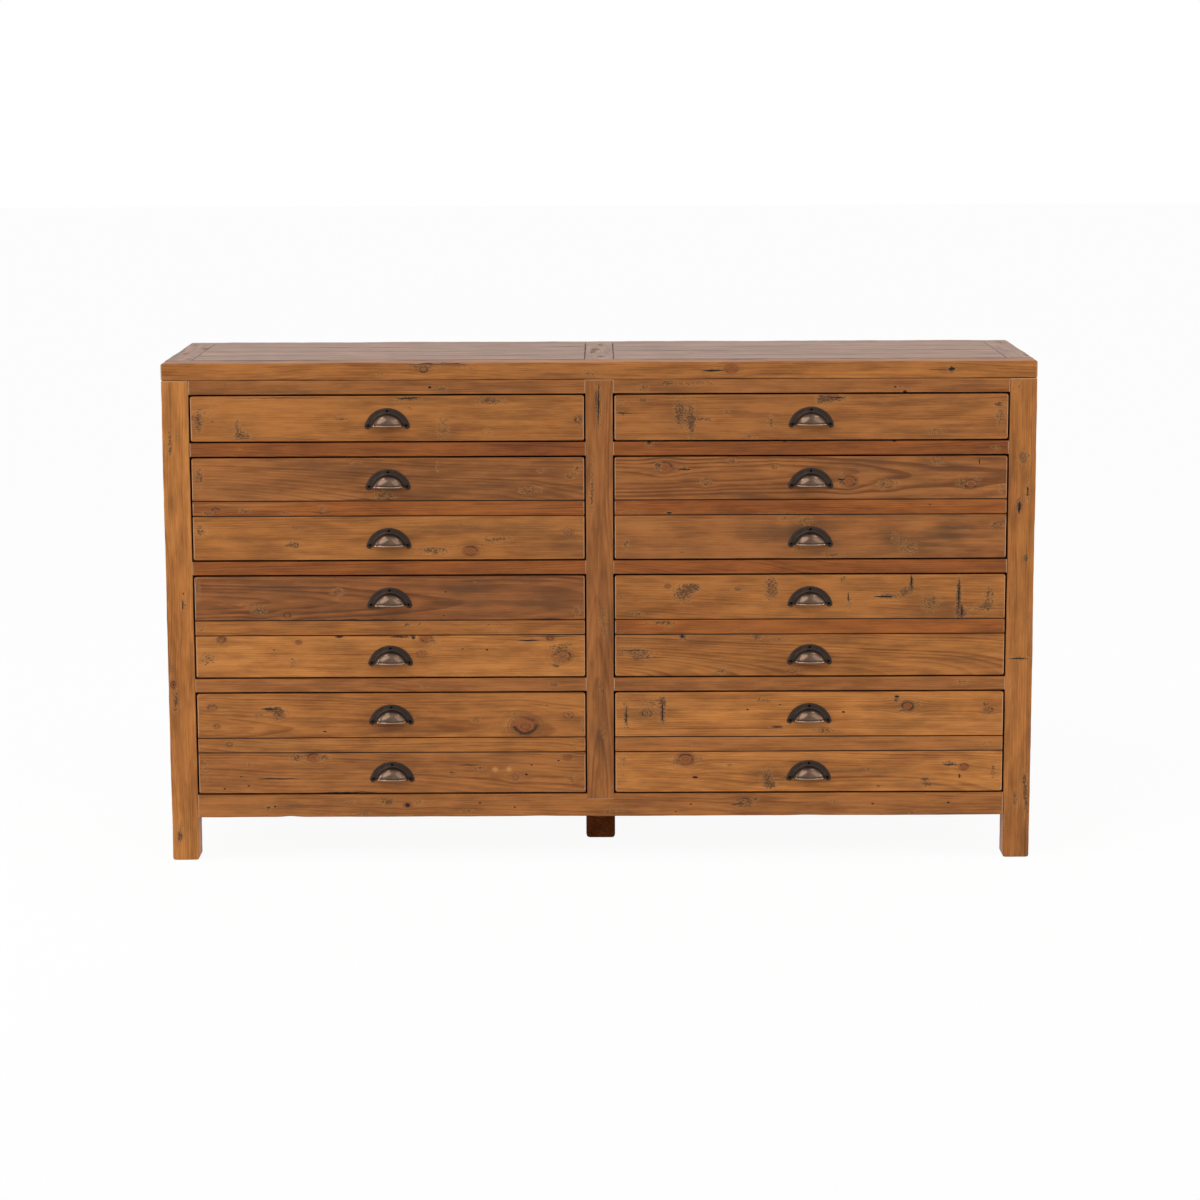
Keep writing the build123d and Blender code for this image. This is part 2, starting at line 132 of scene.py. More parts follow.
class Graph:
    """Adds nodes to a tree, joined to what they are given."""

    def __init__(self, tree):
        self.tree = tree

    def feed(self, socket, value):
        if isinstance(value, bpy.types.NodeSocket):
            self.tree.links.new(value, socket)
        elif socket.type == "RGBA" and len(value) == 3:
            socket.default_value = (*value, 1)
        else:
            socket.default_value = value

    def node(self, kind, settings=(), **inputs):
        node = self.tree.nodes.new(kind)
        for name, value in dict(settings).items():
            setattr(node, name, value)
        for name, value in inputs.items():
            self.feed(node.inputs[name.replace("_", " ")], value)
        return node

    def maths(self, operation, *values, clamp=False):
        node = self.node("ShaderNodeMath", {"operation": operation, "use_clamp": clamp})
        for socket, value in zip(node.inputs, values):
            self.feed(socket, value)
        return node.outputs[0]

    def add(self, *values):
        total = values[0]
        for value in values[1:]:
            total = self.maths("ADD", total, value)
        return total

    def times(self, *values):
        product = values[0]
        for value in values[1:]:
            product = self.maths("MULTIPLY", product, value)
        return product

    def less(self, a, b):
        return self.maths("SUBTRACT", a, b)

    def limited(self, value, most=1.0):
        """The value, but from 0 to a limit."""
        return self.maths("MINIMUM", self.maths("MAXIMUM", value, 0.0), most)

    def vector(self, operation, *values):
        node = self.node("ShaderNodeVectorMath", {"operation": operation})
        for socket, value in zip(node.inputs, values):
            self.feed(socket, value)
        return node.outputs["Value" if operation in ("LENGTH", "DOT_PRODUCT") else "Vector"]

    def split(self, vector):
        return self.node("ShaderNodeSeparateXYZ", Vector=vector).outputs

    def join(self, x, y, z):
        return self.node("ShaderNodeCombineXYZ", X=x, Y=y, Z=z).outputs[0]

    def noise(self, at, stretch, detail=2.0, roughness=0.5):
        """Noise from 0 to 1 that changes about as often in a metre as the stretch says."""
        stretched = self.vector("MULTIPLY", at, stretch)
        shape = {"Scale": 1.0, "Detail": detail, "Roughness": roughness}
        return self.node("ShaderNodeTexNoise", Vector=stretched, **shape).outputs["Fac"]

    def swing(self, at, stretch, detail=2.0):
        """Noise from about -1 to 1."""
        return self.times(self.less(self.noise(at, stretch, detail), 0.5), SWING)

    def step(self, value, low, high, start=0.0, end=1.0):
        """Smooth change from start to end as a value goes from low to high."""
        node = self.node("ShaderNodeMapRange", {"interpolation_type": "SMOOTHSTEP"}, Value=value)
        limits = {"From Min": low, "From Max": high, "To Min": start, "To Max": end}
        for name, limit in limits.items():
            self.feed(node.inputs[name], limit)
        return node.outputs["Result"]

    def blend(self, factor, a, b):
        node = self.node("ShaderNodeMix", {"data_type": "RGBA"})
        self.feed(node.inputs[0], factor)
        self.feed(node.inputs[6], a)
        self.feed(node.inputs[7], b)
        return node.outputs[2]

    def scaled(self, colour, factor):
        node = self.node("ShaderNodeVectorMath", {"operation": "SCALE"}, Scale=factor)
        self.feed(node.inputs[0], colour)
        return node.outputs["Vector"]

    def attribute(self, name, kind="Vector"):
        return self.node("ShaderNodeAttribute", {"attribute_name": name}).outputs[kind]


def new_material(name):
    """A material, the graph of its nodes and its shader."""
    material = bpy.data.materials.new(name)
    material.use_nodes = True
    return material, Graph(material.node_tree), material.node_tree.nodes["Principled BSDF"]


def dress(g, shader, colour, roughness, height, strength, depth):
    """Gives a shader its colour, its roughness and a bump of so many metres."""
    bump = g.node("ShaderNodeBump", Strength=strength, Distance=depth, Height=height)
    g.feed(shader.inputs["Base Color"], colour)
    g.feed(shader.inputs["Roughness"], roughness)
    g.feed(shader.inputs["Normal"], bump.outputs["Normal"])


SOCKETS = {"vector": "NodeSocketVector", "float": "NodeSocketFloat", "colour": "NodeSocketColor"}


class Group:
    """A node group with named inputs, whose outputs are set by finish."""

    def __init__(self, name, **inputs):
        self.tree = bpy.data.node_groups.new(name, "ShaderNodeTree")
        for title, kind in inputs.items():
            self.tree.interface.new_socket(title, in_out="INPUT", socket_type=SOCKETS[kind])
        self.graph = Graph(self.tree)
        self.inputs = self.tree.nodes.new("NodeGroupInput").outputs

    def finish(self, **outputs):
        for title in outputs:
            kind = "vector" if title in ("Point", "Colour") else "float"
            self.tree.interface.new_socket(title, in_out="OUTPUT", socket_type=SOCKETS[kind])
        exit_node = self.tree.nodes.new("NodeGroupOutput")
        for title, value in outputs.items():
            self.graph.feed(exit_node.inputs[title], value)
        return self.tree


def use(graph, tree, **inputs):
    node = graph.node("ShaderNodeGroup", {"node_tree": tree})
    for title, value in inputs.items():
        graph.feed(node.inputs[title], value)
    return node.outputs


KNOT_SHAPE = (0.72, 1.0, 0.35)  # weights of a way along, across and through a board in a knot
KNOT_REACH = (0.3, 0.5, 0.2)  # the same in how far from the knot its grain bends
KNOT_PULL = 0.86  # share of the way that the grain beside a knot is drawn in


def knot_group():
    """Bends the grain round a knot and keeps the least distance to any knot, in its radii."""
    group = Group(
        "knot", Here="vector", Point="vector", Nearest="float", Centre="vector", Radius="float",
    )
    g, i = group.graph, group.inputs
    offset = g.vector("SUBTRACT", i["Here"], i["Centre"])
    across = g.split(offset)["Y"]
    shaped = g.vector("LENGTH", g.vector("MULTIPLY", offset, KNOT_SHAPE))
    distance = g.maths("DIVIDE", shaped, i["Radius"])
    stretched = g.vector("LENGTH", g.vector("MULTIPLY", offset, KNOT_REACH))
    reach = g.maths("DIVIDE", stretched, i["Radius"])
    pull = g.maths("EXPONENT", g.times(reach, reach, -1.0))
    bend = g.join(0.0, g.times(across, pull, -KNOT_PULL), 0.0)
    nearest = g.maths("MINIMUM", i["Nearest"], distance)
    return group.finish(Point=g.vector("ADD", i["Point"], bend), Nearest=nearest)


def crack_group():
    """Depth of the deepest crack so far, from 0 to 1, at a place that was made to wander."""
    group = Group(
        "crack", Wandering="vector", Ragged="float", Depth="float", Centre="vector", Size="vector",
    )
    g, i = group.graph, group.inputs
    offset = g.vector("SUBTRACT", i["Wandering"], i["Centre"])
    along, across, through = g.split(g.vector("DIVIDE", offset, i["Size"]))
    away = g.add(g.times(along, along), g.times(through, through))
    taper = g.maths("SUBTRACT", 1.0, away, clamp=True)
    width = g.add(g.times(taper, g.add(i["Ragged"], 0.5)), 0.02)
    off = g.maths("DIVIDE", g.maths("ABSOLUTE", across), width)
    depth = g.times(g.step(off, 0.55, 1.0, 1.0, 0.0), g.step(taper, 0.0, 0.12))
    return group.finish(Depth=g.maths("MAXIMUM", i["Depth"], depth))


def patch_group():
    """Adds a soft patch to a sum: its amount in the middle, fading out to its size."""
    group = Group(
        "patch", Here="vector", Ragged="float", Sum="float", Centre="vector", Size="vector",
        Amount="float",
    )
    g, i = group.graph, group.inputs
    away = g.vector("DIVIDE", g.vector("SUBTRACT", i["Here"], i["Centre"]), i["Size"])
    distance = g.times(g.vector("DOT_PRODUCT", away, away), g.add(i["Ragged"], 0.5))
    patch = g.times(g.maths("EXPONENT", g.times(distance, -1.0)), i["Amount"])
    return group.finish(Sum=g.add(i["Sum"], patch))


# How often each pattern changes in a metre along, across and through a board.
DRIFT = (2.0, 6.0, 6.0)
WAVER = (11.0, 34.0, 34.0)
FIBRE = (12.0, 480.0, 480.0)
STREAK = (4.5, 170.0, 170.0)
CLOUD = (2.6, 15.0, 15.0)
JAGGED = (230.0, 430.0, 430.0)
BLOTCH = (13.0, 60.0, 60.0)
WANDER = (38.0, 60.0, 60.0)
EVEN = (1.0, 1.0, 1.0)

RINGS_DRIFT = 9 * MM  # how far the growth rings wander across the board in long bends
RINGS_WAVER = 1 * MM  # the same in short ones
RINGS_DEPTH = 12 * MM  # how far they wander through the board
MOST_SOILED = 0.9  # some of the wood always shows through a stain


def growth_rings(g, i):
    """How late in its year the wood grew, from 0 to 1, and how uneven its years are."""
    along, across, through = g.split(i["Point"])
    pith_across, pith_depth, slope = g.split(i["Pith"])
    drift = g.swing(i["Place"], DRIFT, 1.0)
    waver = g.swing(i["Place"], WAVER, 1.0)
    across = g.add(across, g.times(drift, RINGS_DRIFT), g.times(waver, RINGS_WAVER))
    depth = g.add(pith_depth, through, g.times(slope, along), g.times(drift, RINGS_DEPTH))
    side = g.less(across, pith_across)
    ring = g.maths("SQRT", g.add(g.times(side, side), g.times(depth, depth)))
    years = g.maths("DIVIDE", ring, i["Spacing"])
    uneven = g.noise(g.join(g.times(years, 0.37), 0.0, 0.0), EVEN, 1.0)
    season = g.maths("FRACT", g.add(years, g.times(uneven, 2.2)))
    late = g.times(g.step(season, 0.25, 0.85), g.step(season, 0.92, 1.0, 1.0, 0.0))
    return late, uneven


def bare_wood(g, i, fibre, streak):
    """Pale early wood and deep late wood, clouded, streaked and fibrous."""
    late, uneven = growth_rings(g, i)
    cloud = g.noise(i["Place"], CLOUD, 2.0)
    ripeness = g.add(
        g.times(late, i["Contrast"], g.step(uneven, 0.3, 0.7, 0.4, 1.3)),
        g.step(cloud, 0.3, 0.7, -0.2, 0.3),
        g.step(i["Blotch"], 0.3, 0.7, -0.12, 0.2),
        g.step(streak, 0.25, 0.75, -0.1, 0.22),
    )
    colour = g.blend(g.limited(ripeness), i["Pale"], i["Deep"])
    light = g.step(fibre, 0.25, 0.75, 0.85, 1.15)
    return g.scaled(colour, g.add(light, g.step(i["Blotch"], 0.25, 0.8, 0.12, -0.2)))


def soiled(g, i, colour, streak):
    """Dirty where the stain is positive, and scuffed pale where it is negative."""
    dirt = g.times(i["Stain"], g.step(g.add(streak, i["Blotch"]), 0.7, 1.25, 0.4, 1.2))
    colour = g.blend(g.limited(dirt, MOST_SOILED), colour, GRIME)
    scuff = g.times(i["Stain"], -1.0)
    return g.blend(g.limited(scuff, MOST_SOILED), colour, SCUFF)


def knotted(g, i, colour, jagged, uneven):
    """With each knot's halo, its heart of two browns and its dark ring of bark."""
    turns = g.join(g.times(i["Nearest"], 6.0), g.times(jagged, 1.2), 0.0)
    swirl = g.noise(turns, EVEN, 1.0)
    near = g.add(i["Nearest"], uneven)
    halo = g.times(g.step(near, 0.9, 2.4, 0.8, 0.0), g.step(swirl, 0.4, 0.6))
    colour = g.blend(halo, colour, KNOT_HALO)
    heart = g.blend(g.step(swirl, 0.35, 0.6), KNOT_HEART, KNOT_RED)
    colour = g.blend(g.step(near, 0.85, 1.05, 0.85, 0.0), colour, heart)
    ring = g.times(g.step(near, 0.62, 0.85), g.step(near, 0.95, 1.2, 1.0, 0.0))
    bark = g.times(ring, g.step(i["Blotch"], 0.42, 0.58), 0.8)
    return g.blend(bark, colour, CRACK)


def scarred(g, i, colour, jagged):
    """With the smudge, the pale rims and the dark gouges of torn places, and how gouged it is."""
    smudge = g.step(g.times(i["Scar"], g.add(i["Blotch"], 0.4)), 0.3, 0.95)
    colour = g.blend(g.times(smudge, 0.42), colour, GRIME)
    torn = g.add(jagged, g.times(g.maths("MINIMUM", i["Scar"], 1.15), 0.3))
    rim = g.times(g.step(torn, 0.62, 0.68), g.step(i["Scar"], 0.1, 0.5))
    colour = g.blend(g.times(rim, 0.38), colour, SCUFF)
    gouge = g.step(torn, 0.715, 0.80)
    return g.blend(g.times(gouge, 0.82), colour, SCAR), gouge


def worn(g, i, colour, uneven):
    """Pale along the arrises where the wear is positive, partly wear and partly painted highlight
    of the eased edges, dark in seams and cracks, and how pale it is there.
    """
    # pale arrises: partly wear, partly painted highlight of the eased edges
    rubbed_and_highlit = g.step(g.add(i["Wear"], uneven), 0.42, 0.85)
    colour = g.blend(g.times(rubbed_and_highlit, 0.62), colour, i["Edge"])
    creased = g.step(g.times(i["Wear"], -1.0), 0.12, 0.75, 0.0, 0.92)
    return g.blend(g.maths("MAXIMUM", i["Depth"], creased), colour, CRACK), rubbed_and_highlit


def pine_group():
    """Waxed old pine, from a point's place along, across and through its board."""
    group = Group(
        "pine", Point="vector", Place="vector", Wear="float", Nearest="float", Depth="float",
        Stain="float", Scar="float", Blotch="float", Pith="vector", Spacing="float",
        Contrast="float", Pale="colour", Deep="colour", Edge="colour",
    )
    g, i = group.graph, group.inputs
    fibre = g.noise(i["Place"], FIBRE, 2.0, 0.65)
    streak = g.noise(i["Place"], STREAK, 2.0)
    jagged = g.noise(i["Place"], JAGGED, 3.0, 0.6)
    uneven = g.add(g.times(g.less(i["Blotch"], 0.5), 0.9), g.times(g.less(jagged, 0.5), 0.5))
    colour = soiled(g, i, bare_wood(g, i, fibre, streak), streak)
    colour = knotted(g, i, colour, jagged, uneven)
    colour, gouge = scarred(g, i, colour, jagged)
    colour, rubbed_and_highlit = worn(g, i, colour, uneven)
    mottle = i["Blotch"]
    roughness = g.add(0.40, g.times(mottle, 0.16), g.times(gouge, 0.25), g.times(rubbed_and_highlit, 0.08))
    height = g.add(
        g.times(fibre, 0.1), g.times(i["Depth"], -0.8), g.times(gouge, -0.35),
        g.times(mottle, 0.12),
    )
    return group.finish(Colour=colour, Roughness=roughness, Height=height)


# ---------------------------------------------------------------- wood

GRIME = srgb(84, 56, 33)
SCUFF = srgb(180, 124, 68)
SCAR = srgb(70, 46, 31)
KNOT_HEART = srgb(98, 54, 27)
KNOT_RED = srgb(138, 78, 38)
KNOT_HALO = srgb(110, 68, 38)
CRACK = srgb(30, 20, 14)
# pale of the arrises: partly wear, partly painted highlight of the eased edges
WORN_AND_HIGHLIT = srgb(184, 148, 118)
SEAM = srgb(62, 42, 28)
TONES = {  # the pale and the deep colour of a board's wood
    "honey": (srgb(172, 111, 54), srgb(130, 74, 30)),
    "amber": (srgb(160, 101, 48), srgb(120, 69, 29)),
    "tan": (srgb(153, 96, 47), srgb(114, 65, 29)),
    "chestnut": (srgb(148, 92, 46), srgb(108, 62, 28)),
    "russet": (srgb(142, 80, 32), srgb(104, 52, 19)),
    "rust": (srgb(136, 76, 31), srgb(98, 50, 19)),
    "umber": (srgb(138, 83, 42), srgb(96, 55, 26)),
    # painted shade: darkened tone for the centre foot, which stands in shade under the bottom rail
    "dark": (srgb(126, 68, 30), srgb(84, 41, 15)),
    "tabletop": (srgb(146, 101, 72), srgb(106, 72, 52)),
}
TOP_GLOSS = 0.6  # specular level of the waxed top


@dataclass
class Looks:
    """What a board shows, in mm from its left or lower end and from its lower or left edge.

    Scars are torn and chipped places. Stains are dirty where their amount is positive and pale
    where it is negative.
    """

    tone: str = "amber"
    knots: tuple = ()  # along, across, radius
    cracks: tuple = ()  # along, across, half length, half width
    scars: tuple = ()  # along, across, half length, half width, amount
    stains: tuple = ()  # along, across, half length, half width, amount
    pith: tuple = (60, 50, 0.03)  # across, depth behind the face, rise for each unit along
    spacing: float = 3.4  # of the growth rings
    contrast: float = 0.45
    edge: tuple = WORN_AND_HIGHLIT
    gloss: float = 0.2  # specular level


KNOT = knot_group()
CRACKING = crack_group()
PATCHING = patch_group()
PINE = pine_group()
FEATURE_DEPTH = 30.0  # how far scars, cracks and stains reach in from a board's face, in mm
FAR_FROM_KNOTS = 50.0  # in radii of a knot
CRACK_SWAY = 1.6 * MM  # how far a crack wanders across its board


def on_face(along, across, *size):
    """Middle and size in metres of a mark on a board's face, from its row in the looks."""
    return (along * MM, across * MM, 0.0), (*(s * MM for s in size), FEATURE_DEPTH * MM)


def grain_round_knots(g, here, knots):
    """The point whose grain shows here, and the distance to the nearest knot in its radii."""
    point, nearest = here, FAR_FROM_KNOTS
    for along, across, radius in knots:
        fixed = {"Centre": on_face(along, across)[0], "Radius": radius * MM}
        out = use(g, KNOT, Here=here, Point=point, Nearest=nearest, **fixed)
        point, nearest = out["Point"], out["Nearest"]
    return point, nearest


def crack_depth(g, here, pattern, ragged, cracks):
    if not cracks:
        return 0.0
    sway = g.times(g.swing(pattern, WANDER), CRACK_SWAY)
    wandering = g.vector("ADD", here, g.join(0.0, sway, 0.0))
    depth = 0.0
    for crack in cracks:
        centre, size = on_face(*crack)
        out = use(
            g, CRACKING, Wandering=wandering, Ragged=ragged, Depth=depth, Centre=centre, Size=size,
        )
        depth = out["Depth"]
    return depth


def patch_sum(g, here, ragged, patches):
    total = 0.0
    for *mark, amount in patches:
        centre, size = on_face(*mark)
        out = use(
            g, PATCHING, Here=here, Ragged=ragged, Sum=total, Centre=centre, Size=size,
            Amount=amount,
        )
        total = out["Sum"]
    return total


def pine_material(name, looks):
    material, g, shader = new_material(name)
    here = g.attribute("wood")
    pattern = g.vector("ADD", here, g.attribute("seed"))
    blotch = g.noise(pattern, BLOTCH, 3.0, 0.6)
    point, nearest = grain_round_knots(g, here, looks.knots)
    pale, deep = TONES[looks.tone]
    pith_across, pith_depth, slope = looks.pith
    out = use(
        g, PINE, Point=point, Place=pattern, Wear=g.attribute("wear", "Fac"), Nearest=nearest,
        Depth=crack_depth(g, here, pattern, blotch, looks.cracks),
        Stain=patch_sum(g, here, blotch, looks.stains),
        Scar=patch_sum(g, here, blotch, looks.scars),
        Blotch=blotch, Pith=(pith_across * MM, pith_depth * MM, slope),
        Spacing=looks.spacing * MM, Contrast=looks.contrast, Pale=pale, Deep=deep, Edge=looks.edge,
    )
    dress(g, shader, out["Colour"], out["Roughness"], out["Height"], 0.5, 0.6 * MM)
    shader.inputs["Specular IOR Level"].default_value = looks.gloss
    return material


WAVE_GAIN = 1.6  # waves seldom peak together, and this lets the line reach 0 and 1


def wave(rng, longest, shortest, count=6):
    """A smooth random line from 0 to 1, as a function of the distance along it."""
    lengths = np.geomspace(longest, shortest, count)
    phases = rng.uniform(0, 2 * math.pi, count)
    heights = np.sqrt(lengths / longest)

    def line(s):
        waves = zip(lengths, phases, heights)
        total = sum(h * np.sin(2 * math.pi * s / n + p) for n, p, h in waves)
        return np.clip(0.5 + 0.5 * total / heights.sum() * WAVE_GAIN, 0, 1)

    return line


def lattice(stops):
    """Points and outward quads of a box's surface, with a grid line at each stop of each axis."""
    shape = [len(s) for s in stops]
    rim = np.ones(shape, bool)
    rim[1:-1, 1:-1, 1:-1] = False
    number = np.full(shape, -1)
    number[rim] = np.arange(rim.sum())
    points = np.stack(np.meshgrid(*stops, indexing="ij"), -1)[rim]
    quads = []
    for axis in range(3):
        for end in (0, -1):
            sheet = np.take(number, end, axis=axis)
            corners = [sheet[:-1, :-1], sheet[1:, :-1], sheet[1:, 1:], sheet[:-1, 1:]]
            if (end == 0) != (axis == 1):
                corners.reverse()
            quads.append(np.stack([c.ravel() for c in corners], 1))
    return points, np.concatenate(quads)


ARRIS_STOPS = (0.0, 0.35, 0.8, 1.6)  # grid lines beside an arris, in its radii


def axis_stops(size, ease, step):
    """Grid lines that are close together in the rounded arrises and even between them."""
    inner = 2.5 * ease + 1.2 * MM
    count = max(1, round((size - 2 * inner) / step))
    wide = size > 2.6 * inner
    middle = list(np.linspace(inner, size - inner, count + 1)) if wide else [size / 2]
    rim = [share * ease for share in ARRIS_STOPS if share * ease < middle[0]]
    return np.array(rim + middle + [size - s for s in reversed(rim)])


@dataclass
class Board:
    """A timber between two corners of the frame, with the axis that its grain follows.

    Corners are rounded ones: the two axes across each, which end of them (-1 or 1) and the radius
    in mm. Dents are dips in a long arris: the axis and end that sink, the place along, the half
    length and the depth in mm.
    """

    name: str
    node: str
    low: np.ndarray
    high: np.ndarray
    grain: int
    face: int = Y  # the axis through the board
    outward: int = -1  # which face shows: -1 the one at the low end of that axis, 1 the other
    ease: float = 1.0  # radius of its arrises in mm
    sway: float = 0.25  # how far its long faces wander inwards in mm
    end_sway: float = 0.08
    corners: tuple = ()
    dents: tuple = ()
    seams: tuple = (0, 0)  # width in mm of the dark line where each long edge meets a board
    rub: float = 0.45  # how pale its long arrises are made, against its ends: partly wear, partly painted highlight


def make_mesh(name, points, faces, smooth=True):
    mesh = bpy.data.meshes.new(name)
    mesh.from_pydata(np.asarray(points).tolist(), [], [list(map(int, f)) for f in faces])
    mesh.validate()
    if smooth:
        mesh.polygons.foreach_set("use_smooth", [True] * len(mesh.polygons))
    mesh.update()
    return mesh


def place(name, mesh, material=None):
    piece = bpy.data.objects.new(name, mesh)
    bpy.context.scene.collection.objects.link(piece)
    if material:
        mesh.materials.append(material)
    return piece


def seed_of(name):
    return sum((i + 1) * ord(c) for i, c in enumerate(name))


STEP_ALONG, STEP_ACROSS = 7 * MM, 22 * MM  # between a board's grid lines
FACE_WAVES = (0.45, 0.03)  # longest and shortest wave of a board's faces, in metres
ARRIS_WAVES = (0.2, 0.012, 8)  # the same along its arrises, and how many waves
LEAST_ARRIS = 0.55  # share of an arris's radius that it has where it is sharpest
DENT_REACH = 7 * MM  # how deep a dent's side runs into the faces beside it
TINY = 1e-9


def wandering_faces(board, rng, points, size):
    """The least and the most that each point may have, with every face swaying inwards."""
    low, high = limits = np.zeros_like(points), np.tile(size, (len(points), 1))
    for axis in range(3):
        amount = (board.end_sway if axis == board.grain else board.sway) * MM
        travel = points[:, (axis + 1) % 3 if axis == board.grain else board.grain]
        for limit, inwards in ((low, 1), (high, -1)):
            limit[:, axis] += inwards * amount * wave(rng, *FACE_WAVES)(travel)
    return limits


def round_arrises(points, low, high, radius):
    core = np.clip(points, low + radius, high - radius)
    out = points - core
    length = np.linalg.norm(out, axis=1, keepdims=True)
    moved = core + out * radius / np.maximum(length, TINY)
    return np.where(length > radius, moved, points)


def sink_dents(board, points, rest, size):
    for axis, end, middle, reach, deep in board.dents:
        from_end = size[axis] - rest[:, axis] if end > 0 else rest[:, axis]
        dip = np.exp(-(((rest[:, board.grain] / MM - middle) / reach) ** 2))
        dip *= np.exp(-np.hypot(from_end, rest[:, board.face]) / DENT_REACH)
        points[:, axis] -= end * deep * MM * dip


def round_corners(board, points, low, high):
    for u, v, end_u, end_v, radius in board.corners:
        bend = radius * MM
        run_u = end_u * (points[:, u] - (low if end_u < 0 else high)[:, u]) + bend
        run_v = end_v * (points[:, v] - (low if end_v < 0 else high)[:, v]) + bend
        reach = np.hypot(run_u, run_v)
        outside = (run_u > 0) & (run_v > 0) & (reach > bend)
        pull = np.where(outside, bend / np.maximum(reach, TINY), 1.0) - 1
        points[:, u] += end_u * run_u * pull
        points[:, v] += end_v * run_v * pull


def board_mesh(board):
    """Box with rounded arrises whose radius wanders with wear, and slightly wandering faces, inside
    its corners.
    """
    rng = np.random.default_rng(seed_of(board.name))
    size = board.high - board.low
    steps = [STEP_ACROSS] * 3
    steps[board.grain] = STEP_ALONG
    rest, quads = lattice([axis_stops(size[a], board.ease * MM, steps[a]) for a in range(3)])
    low, high = wandering_faces(board, rng, rest, size)
    points = low + rest / size * (high - low)
    wear = wave(rng, *ARRIS_WAVES)(rest[:, board.grain])
    radius = (board.ease * MM * (LEAST_ARRIS + (1 - LEAST_ARRIS) * wear))[:, None]
    points = round_arrises(points, low, high, radius)
    sink_dents(board, points, rest, size)
    round_corners(board, points, low, high)

    mesh = make_mesh(board.name, points + board.low, quads)
    through = rest[:, board.face] if board.outward < 0 else size[board.face] - rest[:, board.face]
    third = 3 - board.face - board.grain
    wood = np.stack([rest[:, board.grain], rest[:, third], through], 1)
    store(mesh, "wood", "FLOAT_VECTOR", wood)
    store(mesh, "seed", "FLOAT_VECTOR", np.tile(rng.uniform(0, 40, 3), (len(points), 1)))
    # wear attribute: pale arrises, partly wear and partly painted highlight, and dark seams below 0
    store(mesh, "wear", "FLOAT", worn_shares(board, rest, size, through, third))
    return mesh


def faded(reach, *distances):
    """1 where both distances are nothing, fading out over a reach in mm."""
    return np.exp(-np.hypot(*distances) / (reach * MM))


def worn_shares(board, rest, size, through, third):
    """How pale each point is made, from 0 to 1, partly wear and partly painted highlight along the
    arrises, or below 0 where it is dark in a seam.
    """
    from_sides = (rest[:, third], size[third] - rest[:, third])
    from_edge = np.minimum(*from_sides)
    from_end = np.minimum(rest[:, board.grain], size[board.grain] - rest[:, board.grain])
    from_face = np.minimum(through, size[board.face] - through)
    # pale at the ends, long edges and corners: partly wear, partly painted highlight
    ends = 1.25 * faded(2.0, from_end, from_face)
    edges = faded(1.7, from_edge, from_face) * board.rub
    corners = faded(2.2, from_end, from_edge)
    wear = np.maximum(np.maximum(ends, edges), corners)
    for width, distance in zip(board.seams, from_sides):
        if width:
            seam = np.exp(-distance / (width * MM))
            wear = wear * (1 - seam**0.4) - seam
    return wear


def store(mesh, name, kind, values):
    layer = mesh.attributes.new(name, kind, "POINT")
    field = "vector" if kind == "FLOAT_VECTOR" else "value"
    layer.data.foreach_set(field, np.asarray(values, float).ravel())


def add_board(board):
    material = pine_material("pine_" + board.name, looks_of(board))
    piece = place(board.name, board_mesh(board), material)
    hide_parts(board.node)
    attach(piece, body_of(board.node))


# ---------------------------------------------------------------- the boards


# Rounded corners, dents and seams as a board has them, in mm.
LEG_CORNERS = ((X, Z, -1, -1, 6), (X, Z, 1, -1, 6), (Y, Z, -1, -1, 4), (Y, Z, 1, -1, 4))
FOOT_CORNERS = ((X, Z, -1, -1, 8), (X, Z, 1, -1, 7))
RAIL_DENTS = ((Z, -1, 172, 14, 1.6), (Z, -1, 640, 30, 0.8), (Z, -1, 1130, 22, 0.9))
TOP_CORNERS = {
    "top_front": ((X, Y, -1, -1, 4), (X, Y, 1, -1, 4), (X, Z, -1, 1, 4), (X, Z, 1, 1, 4)),
    "top_back": ((X, Y, -1, 1, 9), (X, Y, 1, 1, 9)),
}
TOP_DENTS = {
    "top_front": (
        (Z, 1, 470, 18, 2.0), (Z, 1, 508, 14, 1.5), (Z, 1, 556, 20, 2.2), (Z, 1, 1240, 30, 1.2),
    ),
}
TOP_SEAMS = {"top_end_left": (0, 1.5), "top_end_right": (1.5, 0), "top_cross": (1.5, 1.5)}
PLANK_SEAMS = (3.0, 3.0)
PANEL_SEAMS = (1, 1)
DRAWER_SEAM = 0.9
DRAWER_CORNER = 4


def lone_board(name, node, grain, *facing, **form):
    """The board that is a node's only solid."""
    return Board(name, node, *node_box(node), grain, *facing, **form)


def front_boards():
    """Legs, centre stile and the rails between the drawers."""
    boards = []
    form = {"ease": 1.8, "sway": 0.9, "end_sway": 0.6, "rub": 0.4, "corners": LEG_CORNERS}
    for side in SIDES:
        for end in ("front", "rear"):
            leg = f"leg_{end}_{side}"
            boards.append(lone_board(leg, leg, Z, **form))
    boards.append(lone_board("centre_stile", "centre_stile", Z, sway=0.4))
    boards.append(lone_board("bottom_rail", "front_bottom_rail", X, sway=0.5, dents=RAIL_DENTS))
    names = [f"mid_rail_{side}_{row}" for row in (3, 2, 1) for side in SIDES]
    names += [f"top_rail_{side}" for side in SIDES]
    for name, box in zip(names, islands("front_rails")):
        boards.append(Board(name, "front_rails", *box, X, sway=0.4))
    return boards


